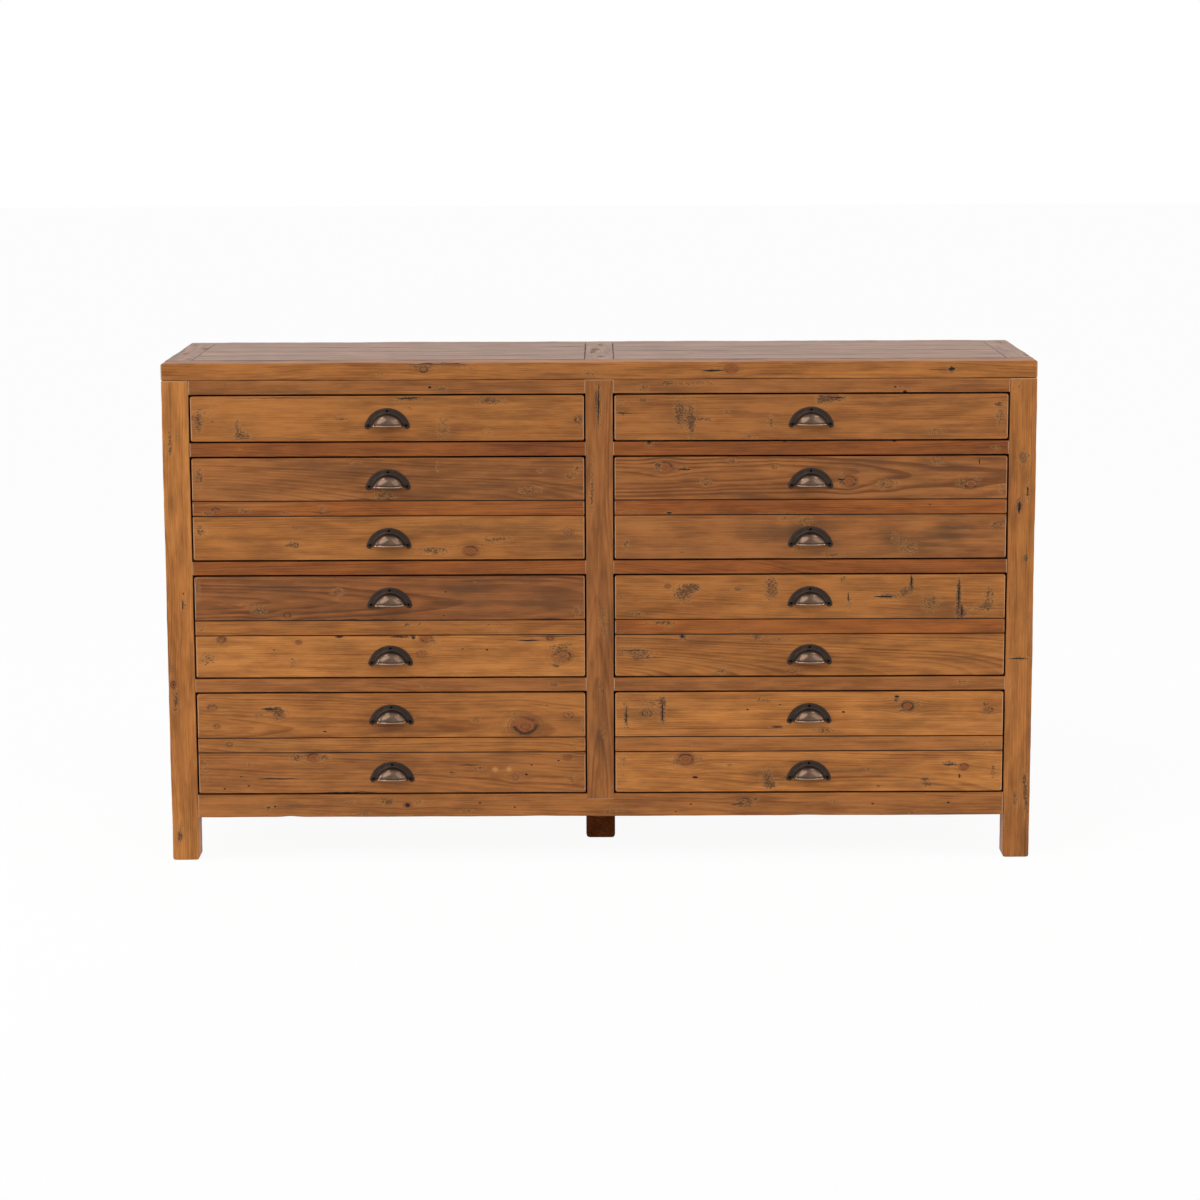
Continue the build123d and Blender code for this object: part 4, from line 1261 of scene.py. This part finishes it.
def looks_of(board):
    """A board's own looks, or else plain ones with a knot or two at random places."""
    if board.name in LOOKS:
        return LOOKS[board.name]
    rng = np.random.default_rng(seed_of(board.name) + 1)
    size = (board.high - board.low) / MM
    length = size[board.grain]
    width = size[3 - board.face - board.grain]
    on_top = board.name.startswith("top_")
    tone = "tabletop" if on_top else rng.choice(["honey", "amber", "chestnut"])
    knots, scars = [], []
    for _ in range(rng.integers(0, 1 + max(1, int(length / 250)))):
        spot = (rng.uniform(0.05, 0.95) * length, rng.uniform(0.2, 0.8) * width)
        knots.append((*spot, rng.uniform(2.5, 6)))
    for _ in range(rng.integers(1, 2 + int(length / 200))):
        spot = (rng.uniform(0.02, 0.98) * length, rng.uniform(0.1, 0.9) * width)
        scars.append((*spot, rng.uniform(8, 25), rng.uniform(3, 9), rng.uniform(0.5, 0.9)))
    pith = (rng.uniform(-0.2, 1.2) * width, rng.uniform(20, 70), rng.uniform(-0.05, 0.05))
    looks = Looks(str(tone), knots, scars=scars, pith=pith)
    looks.spacing, looks.contrast = rng.uniform(2.6, 4.2), rng.uniform(0.3, 0.6)
    if on_top:
        looks.edge, looks.gloss = SEAM, TOP_GLOSS
    return looks


# ---------------------------------------------------------------- metal

PULL_FOOT = 6.5  # how far the plate's feet reach under the cup's mouth, in mm
CUP_HALF, CUP_RISE, CUP_DEPTH, CUP_WALL = 30.5, 22.0, 21.0, 1.8
FULLNESS = 2.7  # power of the curve across the cup: 2 is an ellipse, and more is squarer
PLATE_HALF, PLATE_HEIGHT, PLATE_THICK = 41.5, 38.0, 2.0
LIP = 1.4  # radius of the bead along the mouth
LIP_INSET = 0.25  # how far the bead's middle lies inside the cup's outer face, in mm
SCREWS = ((0.0, 26.6), (-35.0, -0.1), (35.0, -0.1))  # across and above the mouth
ARCH = (CUP_HALF**2 + CUP_RISE**2) / (2 * CUP_RISE)


def cup_depth(reach, inset):
    """How far the cup stands out at a distance from its axis: full, and steep at its sides."""
    share = np.clip(reach / (ARCH - inset), 0, 1)
    return (CUP_DEPTH - inset) * (1 - share**FULLNESS) ** (1 / FULLNESS)


def arc(radius, centre, level, count):
    """Points of an arc round a centre's height, from left to right, down to a level."""
    tilt = math.asin((level - centre) / radius)
    turn = np.linspace(math.pi - tilt, tilt, count)
    return np.stack([radius * np.cos(turn), centre + radius * np.sin(turn)], 1)


def cup_sheet(inset, columns=40, rows=16):
    """Grid of points from the mouth up to the arch: columns run from left to right."""
    radius = ARCH - inset
    centre = CUP_RISE - ARCH
    half = math.sqrt(radius**2 - centre**2)
    share = (1 - np.cos(np.linspace(0, math.pi, columns + 1))) / 2
    mouth = np.stack([-half + 2 * half * share, np.zeros(columns + 1)], 1)
    arch = arc(radius, centre, 0.0, columns + 1)
    up = np.sin(np.linspace(0, math.pi / 2, rows + 1))[None, :, None]
    flat = mouth[:, None] * (1 - up) + arch[:, None] * up
    reach = np.hypot(flat[..., 0], flat[..., 1] - centre)
    return np.stack([flat[..., 0], -cup_depth(reach, inset), flat[..., 1]], -1)


def grid_faces(rows, columns, start=0, closed=False, flip=False):
    faces = []
    for i in range(rows - 1):
        for j in range(columns if closed else columns - 1):
            k = (j + 1) % columns
            a, b = start + i * columns + j, start + i * columns + k
            c, d = start + (i + 1) * columns + k, start + (i + 1) * columns + j
            faces.append((d, c, b, a) if flip else (a, b, c, d))
    return faces


def mouth_path(inset, count=48):
    """The cup's mouth seen from above, from left to right."""
    centre = CUP_RISE - ARCH
    half = math.sqrt((ARCH - inset) ** 2 - centre**2)
    x = -half * np.cos(np.linspace(0, math.pi, count + 1))
    return np.stack([x, -cup_depth(np.hypot(x, centre), inset)], 1)


def tube(path, radius, sides=10):
    """Points and faces of a round tube along a level path."""
    step = np.gradient(path, axis=0)
    step /= np.linalg.norm(step, axis=1, keepdims=True)
    out = np.stack([step[:, 1], -step[:, 0]], 1)
    points = []
    for turn in np.linspace(0, 2 * math.pi, sides, endpoint=False):
        level = path + out * radius * math.cos(turn)
        points.append(np.concatenate([level, np.full((len(path), 1), radius * math.sin(turn))], 1))
    points = np.stack(points, 1).reshape(-1, 3)
    faces = grid_faces(len(path), sides, closed=True)
    last = (len(path) - 1) * sides
    faces += [tuple(range(sides)), tuple(last + i for i in reversed(range(sides)))]
    return points, faces


def with_mirror(left, middle):
    """A line from left to right whose right end is its left end mirrored."""
    return np.concatenate([left, middle, (left * (-1, 1))[::-1]])


def plate_band(count=72, corner=6, side=3):
    """The arched plate as a band with rounded feet: its outer and inner edges, left to right."""
    foot = (PLATE_HALF - CUP_HALF) / 2
    foot_x = PLATE_HALF - foot
    foot_z = foot - PULL_FOOT
    rise = PLATE_HEIGHT - foot
    radius = (PLATE_HALF**2 + rise**2) / (2 * rise)
    outer = arc(radius, foot_z + rise - radius, foot_z, count)
    inner = arc(ARCH - CUP_WALL / 2, CUP_RISE - ARCH, 0.0, count)
    quarter = np.linspace(0, math.pi / 2, corner + 1)[:-1]
    low = foot_z - foot * np.cos(quarter)
    foot_out = np.stack([-foot_x - foot * np.sin(quarter), low], 1)
    foot_in = np.stack([-foot_x + foot * np.sin(quarter), low], 1)
    rising = np.stack([np.full(side, -foot_x + foot), np.linspace(foot_z, -0.6, side)], 1)
    inner_left = np.concatenate([foot_in, rising])
    return with_mirror(foot_out, outer), with_mirror(inner_left, inner[side:-side])


PLATE_SHARES = (0.0, 0.0, 0.05, 0.14, 0.3, 0.5, 0.7, 0.86, 0.95, 1.0, 1.0)  # from outer to inner
FREE_EDGE = (0.0, 0.5, 0.8, 0.97, 1.0, 1.0, 1.0, 0.97, 0.8, 0.5, 0.0)  # height, in thicknesses
AT_CUP = (0.0, 0.5, 0.8, 0.97, 1.0, 1.03, 1.12, 1.4, 1.75, 2.1, 0.0)  # where it sweeps up the cup


def plate_mesh():
    """The plate with rounded edges, which sweeps up to the cup where the two meet."""
    outer, inner = plate_band()
    meets_cup = np.clip((inner[:, 1] - 0.3) / 3.0, 0, 1)
    points = []
    for share, free, joined in zip(PLATE_SHARES, FREE_EDGE, AT_CUP):
        flat = outer * (1 - share) + inner * share
        depth = (free + (joined - free) * meets_cup) * PLATE_THICK
        points.append(np.stack([flat[:, 0], -depth, flat[:, 1]], 1))
    points = np.stack(points, 1).reshape(-1, 3)
    return points, grid_faces(len(outer), len(PLATE_SHARES), closed=True)


LIP_HIGHLIGHT_MARK = 2.2  # value given to the bead, above 1 so that its metal can be told apart and given a painted highlight
LIP_SHADE = 3.5  # height above the bead of the painted shade in the crease there, over which the cup gets brighter, in mm


def rub_of(points):
    """How pale each point of a pull is made: more where it stands out from wear, with painted shade
    just above the bead, and most on the bead for its painted highlight.
    """
    stands_out = (-points[:, Y] - PLATE_THICK - 1.0) / (CUP_DEPTH - PLATE_THICK)
    # painted shade: the cup is darkened just above the bead
    lip_shade_and_highlight = np.clip((points[:, Z] - LIP) / LIP_SHADE, 0.3, 1.0)
    # the bead is marked for its painted highlight
    lip_shade_and_highlight[points[:, Z] < LIP * 0.95] = LIP_HIGHLIGHT_MARK
    return np.clip(stands_out, 0, 1) * lip_shade_and_highlight


def pull_mesh():
    """Cup with its wall, lip bead and arched plate, with the middle of the mouth at the origin."""
    outside, inside = cup_sheet(0.0), cup_sheet(CUP_WALL)
    columns, rows = outside.shape[:2]
    shapes = (
        (outside.reshape(-1, 3), grid_faces(columns, rows)),
        (inside.reshape(-1, 3), grid_faces(columns, rows, flip=True)),
        tube(mouth_path(LIP_INSET), LIP),
        plate_mesh(),
    )
    points, faces = [], []
    for shape_points, shape_faces in shapes:
        start = sum(len(p) for p in points)
        points.append(shape_points)
        faces += [tuple(start + i for i in f) for f in shape_faces]
    points = np.concatenate(points)
    mesh = make_mesh("cup_pull", points * MM, faces)
    # rub values: wear where the pull stands out, painted shade above the bead, painted highlight on
    # the bead
    store(mesh, "rub", "FLOAT", rub_of(points))
    return mesh


SCREW_PROFILE = ((1.0, 0.0), (0.97, 0.35), (0.8, 0.75), (0.5, 0.95), (0.25, 1.0))  # out and up
SLOT_HALF, SLOT_DEPTH, SLOT_END = 0.42, 0.45, 0.95  # in mm, and the share of the radius it spans


def screw_mesh(radius=2.3, height=1.2, sides=20):
    """Round screw head with a slot, seen from the front, with its underside at the origin."""
    points = []
    for share, rise in SCREW_PROFILE:
        for turn in np.linspace(0, 2 * math.pi, sides, endpoint=False):
            x, z = radius * share * math.cos(turn), radius * share * math.sin(turn)
            slot = SLOT_DEPTH if abs(z) < SLOT_HALF and share < SLOT_END else 0.0
            points.append((x, -height * rise + slot, z))
    faces = grid_faces(len(SCREW_PROFILE), sides, closed=True)
    last = (len(SCREW_PROFILE) - 1) * sides
    faces.append(tuple(range(last, last + sides)))
    return make_mesh("screw_head", np.array(points) * MM, faces)


MATT_METAL = 0.34  # how much rougher the metal is where nothing rubs it
METALLIC = 0.86  # the rest is grime
CAST_CLOUD = (70.0, 70.0, 70.0)  # how often the casting's patterns change in a metre
CAST_GRIT = (900.0, 900.0, 900.0)
# painted highlight colour of the lip bead
LIP_HIGHLIGHT = srgb(176, 148, 130)


def bronze_material(name, dark, pale, roughness):
    """Dark cast bronze, paler where it stands out from wear, with a painted highlight on the lip
    bead and painted shade just above it.
    """
    material, g, shader = new_material(name)
    here = g.node("ShaderNodeTexCoord").outputs["Object"]
    cloud = g.noise(here, CAST_CLOUD, 4.0, 0.6)
    grit = g.noise(here, CAST_GRIT, 2.0)
    # wear where the cup stands out, with the painted shade above the bead
    rub = g.step(g.attribute("rub", "Fac"), 0.2, 0.75)
    uneven = g.step(cloud, 0.3, 0.75, -0.16, 0.2)
    colour = g.blend(g.maths("ADD", g.times(rub, 0.85), uneven, clamp=True), dark, pale)
    # painted highlight along the lip bead
    lip_highlight = g.step(g.attribute("rub", "Fac"), 1.2, 1.7, 0.0, 0.5)
    colour = g.blend(lip_highlight, colour, LIP_HIGHLIGHT)
    dull = g.less(MATT_METAL, g.times(rub, MATT_METAL))
    roughness = g.add(roughness, dull, g.times(cloud, 0.16), g.times(grit, 0.06))
    height = g.add(g.times(cloud, 0.6), g.times(grit, 0.25))
    dress(g, shader, colour, roughness, height, 0.25, 0.2 * MM)
    shader.inputs["Metallic"].default_value = METALLIC
    return material


def add_metal(name, mesh, at, node):
    piece = place(name, mesh)
    piece.location = at
    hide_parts(node)
    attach(piece, body_of(node))


def add_pulls():
    pull, screw = pull_mesh(), screw_mesh()
    pull.materials.append(bronze_material("bronze", srgb(50, 40, 34), srgb(102, 80, 65), 0.08))
    screw.materials.append(bronze_material("screw_steel", srgb(10, 8, 7), srgb(18, 15, 13), 0.5))
    for side, row in DRAWERS:
        drawer = f"drawer_{side}_{row}"
        for i, (low, high) in enumerate(islands(f"{drawer}_pulls")):
            name = f"{drawer}_pull_{i + 1}"
            mouth = Vector(((low[X] + high[X]) / 2, high[Y], low[Z] + PULL_FOOT * MM))
            add_metal(name, pull, mouth, f"{drawer}_pulls")
            for j, (across, above) in enumerate(SCREWS):
                at = mouth + Vector((across, -PLATE_THICK, above)) * MM
                add_metal(f"{name}_screw_{j + 1}", screw, at, f"{drawer}_screws")


# ---------------------------------------------------------------- hidden wood


RAW_LINES = (3.0, 110.0, 110.0)  # how often the raw wood's patterns change in a metre
RAW_FIBRE = (20.0, 900.0, 900.0)
RAW_CLOUD = (4.0, 12.0, 12.0)


def raw_material(name, pale, deep, grain=None):
    """Plain unfinished wood for the inside. Without an axis, the grain follows each face."""
    material, g, shader = new_material(name)
    x, y, z = g.split(g.node("ShaderNodeTexCoord").outputs["Object"])
    along, across = (y, x) if grain == Y else (x, y)
    if grain is None:
        facing = g.split(g.node("ShaderNodeNewGeometry").outputs["True Normal"])
        sideways = g.maths("GREATER_THAN", g.maths("ABSOLUTE", facing[0]), 0.5)
        lengthways = g.less(1.0, sideways)
        along = g.add(g.times(sideways, y), g.times(lengthways, x))
        across = g.add(g.times(sideways, x), g.times(lengthways, y))
    at = g.join(along, across, z)
    lines = g.noise(at, RAW_LINES, 3.0)
    fibre = g.noise(at, RAW_FIBRE, 2.0)
    cloud = g.noise(at, RAW_CLOUD, 3.0)
    light = g.add(g.step(fibre, 0.2, 0.8, 0.9, 1.08), g.step(cloud, 0.3, 0.7, 0.06, -0.08))
    colour = g.scaled(g.blend(g.step(lines, 0.3, 0.7), pale, deep), light)
    roughness = g.add(0.62, g.times(fibre, 0.15))
    dress(g, shader, colour, roughness, g.add(fibre, lines), 0.3, 0.3 * MM)
    shader.inputs["Specular IOR Level"].default_value = 0.25
    return material


def dress_inside():
    raw = raw_material("raw_pine", srgb(190, 150, 101), srgb(158, 112, 66))
    lengthwise = raw_material("raw_pine_lengthwise", srgb(186, 146, 98), srgb(152, 107, 62), X)
    crosswise = raw_material("raw_pine_crosswise", srgb(182, 142, 95), srgb(150, 105, 62), Y)
    ply = raw_material("plywood", srgb(206, 172, 124), srgb(188, 150, 100), X)
    finish = {
        "back_rails": lengthwise, "centre_partition": crosswise, "centre_bearer": crosswise,
        "top_battens": crosswise, "drawer_runners": crosswise, "drawer_stops": lengthwise,
    }
    for side, row in DRAWERS:
        finish[f"drawer_{side}_{row}_box"] = raw
        finish[f"drawer_{side}_{row}_bottom"] = ply
    for node, material in finish.items():
        mesh = frame["nodes"][node].data
        if not mesh.materials:
            mesh.materials.append(material)
        for i in range(len(mesh.materials)):
            mesh.materials[i] = material


# ---------------------------------------------------------------- camera, light and floor

# From the middle of the front's face, on the floor, in mm, and its turns in degrees.
CAMERA_AT = Vector((2.962, -5799.11, 1446.08)) * MM
CAMERA_PITCH = 9.3567  # downwards
CAMERA_YAW = -0.0271
CAMERA_ROLL = -0.2111
FOCAL_PIXELS, FRAME_PIXELS = 3186.87, 1200
SENSOR = 36.0


def add_camera():
    front = node_box("front_bottom_rail")[0][Y]
    pitch, yaw, roll = (math.radians(a) for a in (CAMERA_PITCH, CAMERA_YAW, CAMERA_ROLL))
    level = math.cos(pitch)
    forward = Vector((math.sin(yaw) * level, math.cos(yaw) * level, -math.sin(pitch)))
    right = Vector((math.cos(yaw), -math.sin(yaw), 0))
    up = right.cross(forward)
    right, up = (
        math.cos(roll) * right + math.sin(roll) * up,
        -math.sin(roll) * right + math.cos(roll) * up,
    )
    data = bpy.data.cameras.new("camera")
    data.sensor_width = SENSOR
    data.sensor_fit = "HORIZONTAL"
    data.lens = SENSOR * FOCAL_PIXELS / FRAME_PIXELS
    data.clip_end = 100
    camera = bpy.data.objects.new("camera", data)
    turn = Matrix((right, up, -forward)).transposed().to_4x4()
    camera.matrix_world = Matrix.Translation(CAMERA_AT + Vector((0, front, 0))) @ turn
    bpy.context.scene.collection.objects.link(camera)
    bpy.context.scene.camera = camera


def background_seen(graph):
    """1 for rays that show the background: from the camera, or mirrored or passed on."""
    path = graph.node("ShaderNodeLightPath").outputs
    seen = graph.maths("MAXIMUM", path["Is Camera Ray"], path["Is Glossy Ray"])
    return graph.maths("MAXIMUM", seen, path["Is Transmission Ray"])


def add_world(ambient):
    world = bpy.data.worlds.new("studio")
    bpy.context.scene.world = world
    world.use_nodes = True
    g = Graph(world.node_tree)
    background = world.node_tree.nodes["Background"]
    background.inputs["Color"].default_value = (1, 1, 1, 1)
    seen = background_seen(g)
    strength = g.add(ambient, g.times(seen, 1.0 - ambient))
    g.feed(background.inputs["Strength"], strength)


FLOOR_HALF = 30.0  # half the length of its sides
FLOOR_DROP = 0.2 * MM  # below the feet, so that no two faces share a plane
FLOOR_GLOW = 0.94  # share of the floor that is plain white where it is seen as background


def add_floor():
    ends = ((-1, -1, 0), (1, -1, 0), (1, 1, 0), (-1, 1, 0))
    points = np.array(ends) * FLOOR_HALF - (0, 0, FLOOR_DROP)
    mesh = make_mesh("floor", points, [(0, 1, 2, 3)], smooth=False)
    material, g, shader = new_material("floor_white")
    shader.inputs["Base Color"].default_value = (0.95, 0.95, 0.95, 1)
    shader.inputs["Roughness"].default_value = 0.9
    shader.inputs["Specular IOR Level"].default_value = 0.0
    glow = g.node("ShaderNodeEmission", Color=(1, 1, 1, 1), Strength=1.0)
    mixed = g.node("ShaderNodeMixShader")
    g.feed(mixed.inputs[0], g.times(background_seen(g), FLOOR_GLOW))
    g.feed(mixed.inputs[1], shader.outputs[0])
    g.feed(mixed.inputs[2], glow.outputs[0])
    g.feed(material.node_tree.nodes["Material Output"].inputs["Surface"], mixed.outputs[0])
    place("floor", mesh, material)


def add_sun(name, toward, strength, spread):
    """Soft even light that comes from a direction."""
    data = bpy.data.lights.new(name, "SUN")
    data.energy = strength
    data.angle = math.radians(spread)
    sun = bpy.data.objects.new(name, data)
    sun.rotation_euler = Vector(toward).to_track_quat("Z", "Y").to_euler()
    bpy.context.scene.collection.objects.link(sun)


def add_panel(name, at, aim, width, height, power):
    data = bpy.data.lights.new(name, "AREA")
    data.shape = "RECTANGLE"
    data.size, data.size_y, data.energy = width, height, power
    panel = bpy.data.objects.new(name, data)
    panel.location = at
    panel.rotation_euler = (Vector(at) - Vector(aim)).to_track_quat("Z", "Y").to_euler()
    bpy.context.scene.collection.objects.link(panel)


def add_lights():
    add_world(0.40)
    add_sun("sun_left", (-0.7, -1.0, 1.0), 1.0, 40)
    add_sun("sun_right", (0.8, -1.0, 0.8), 0.5, 40)
    add_panel("panel_left", (-3.3, -1.0, 1.0), (0, -0.2, 0.5), 0.35, 1.8, 34)
    add_panel("panel_right", (3.3, -1.0, 1.0), (0, -0.2, 0.5), 0.35, 1.8, 26)
    add_panel("overhead_left", (-1.4, -0.8, 3.0), (-0.3, -0.2, 0.5), 0.5, 0.5, 9)
    add_panel("overhead_right", (1.4, -0.8, 3.0), (0.3, -0.2, 0.5), 0.5, 0.5, 7)


# ---------------------------------------------------------------- the whole scene

foot = lone_board("centre_foot", "centre_foot", Y, Z, ease=2.5, sway=0.8, corners=FOOT_CORNERS)
boards = front_boards() + side_and_back_boards() + [foot] + top_boards()
for side, row in DRAWERS:
    boards += drawer_boards(side, row)
for board in boards:
    add_board(board)
add_pulls()
dress_inside()
add_camera()
add_floor()
add_lights()
bpy.context.scene.view_settings.view_transform = "Standard"
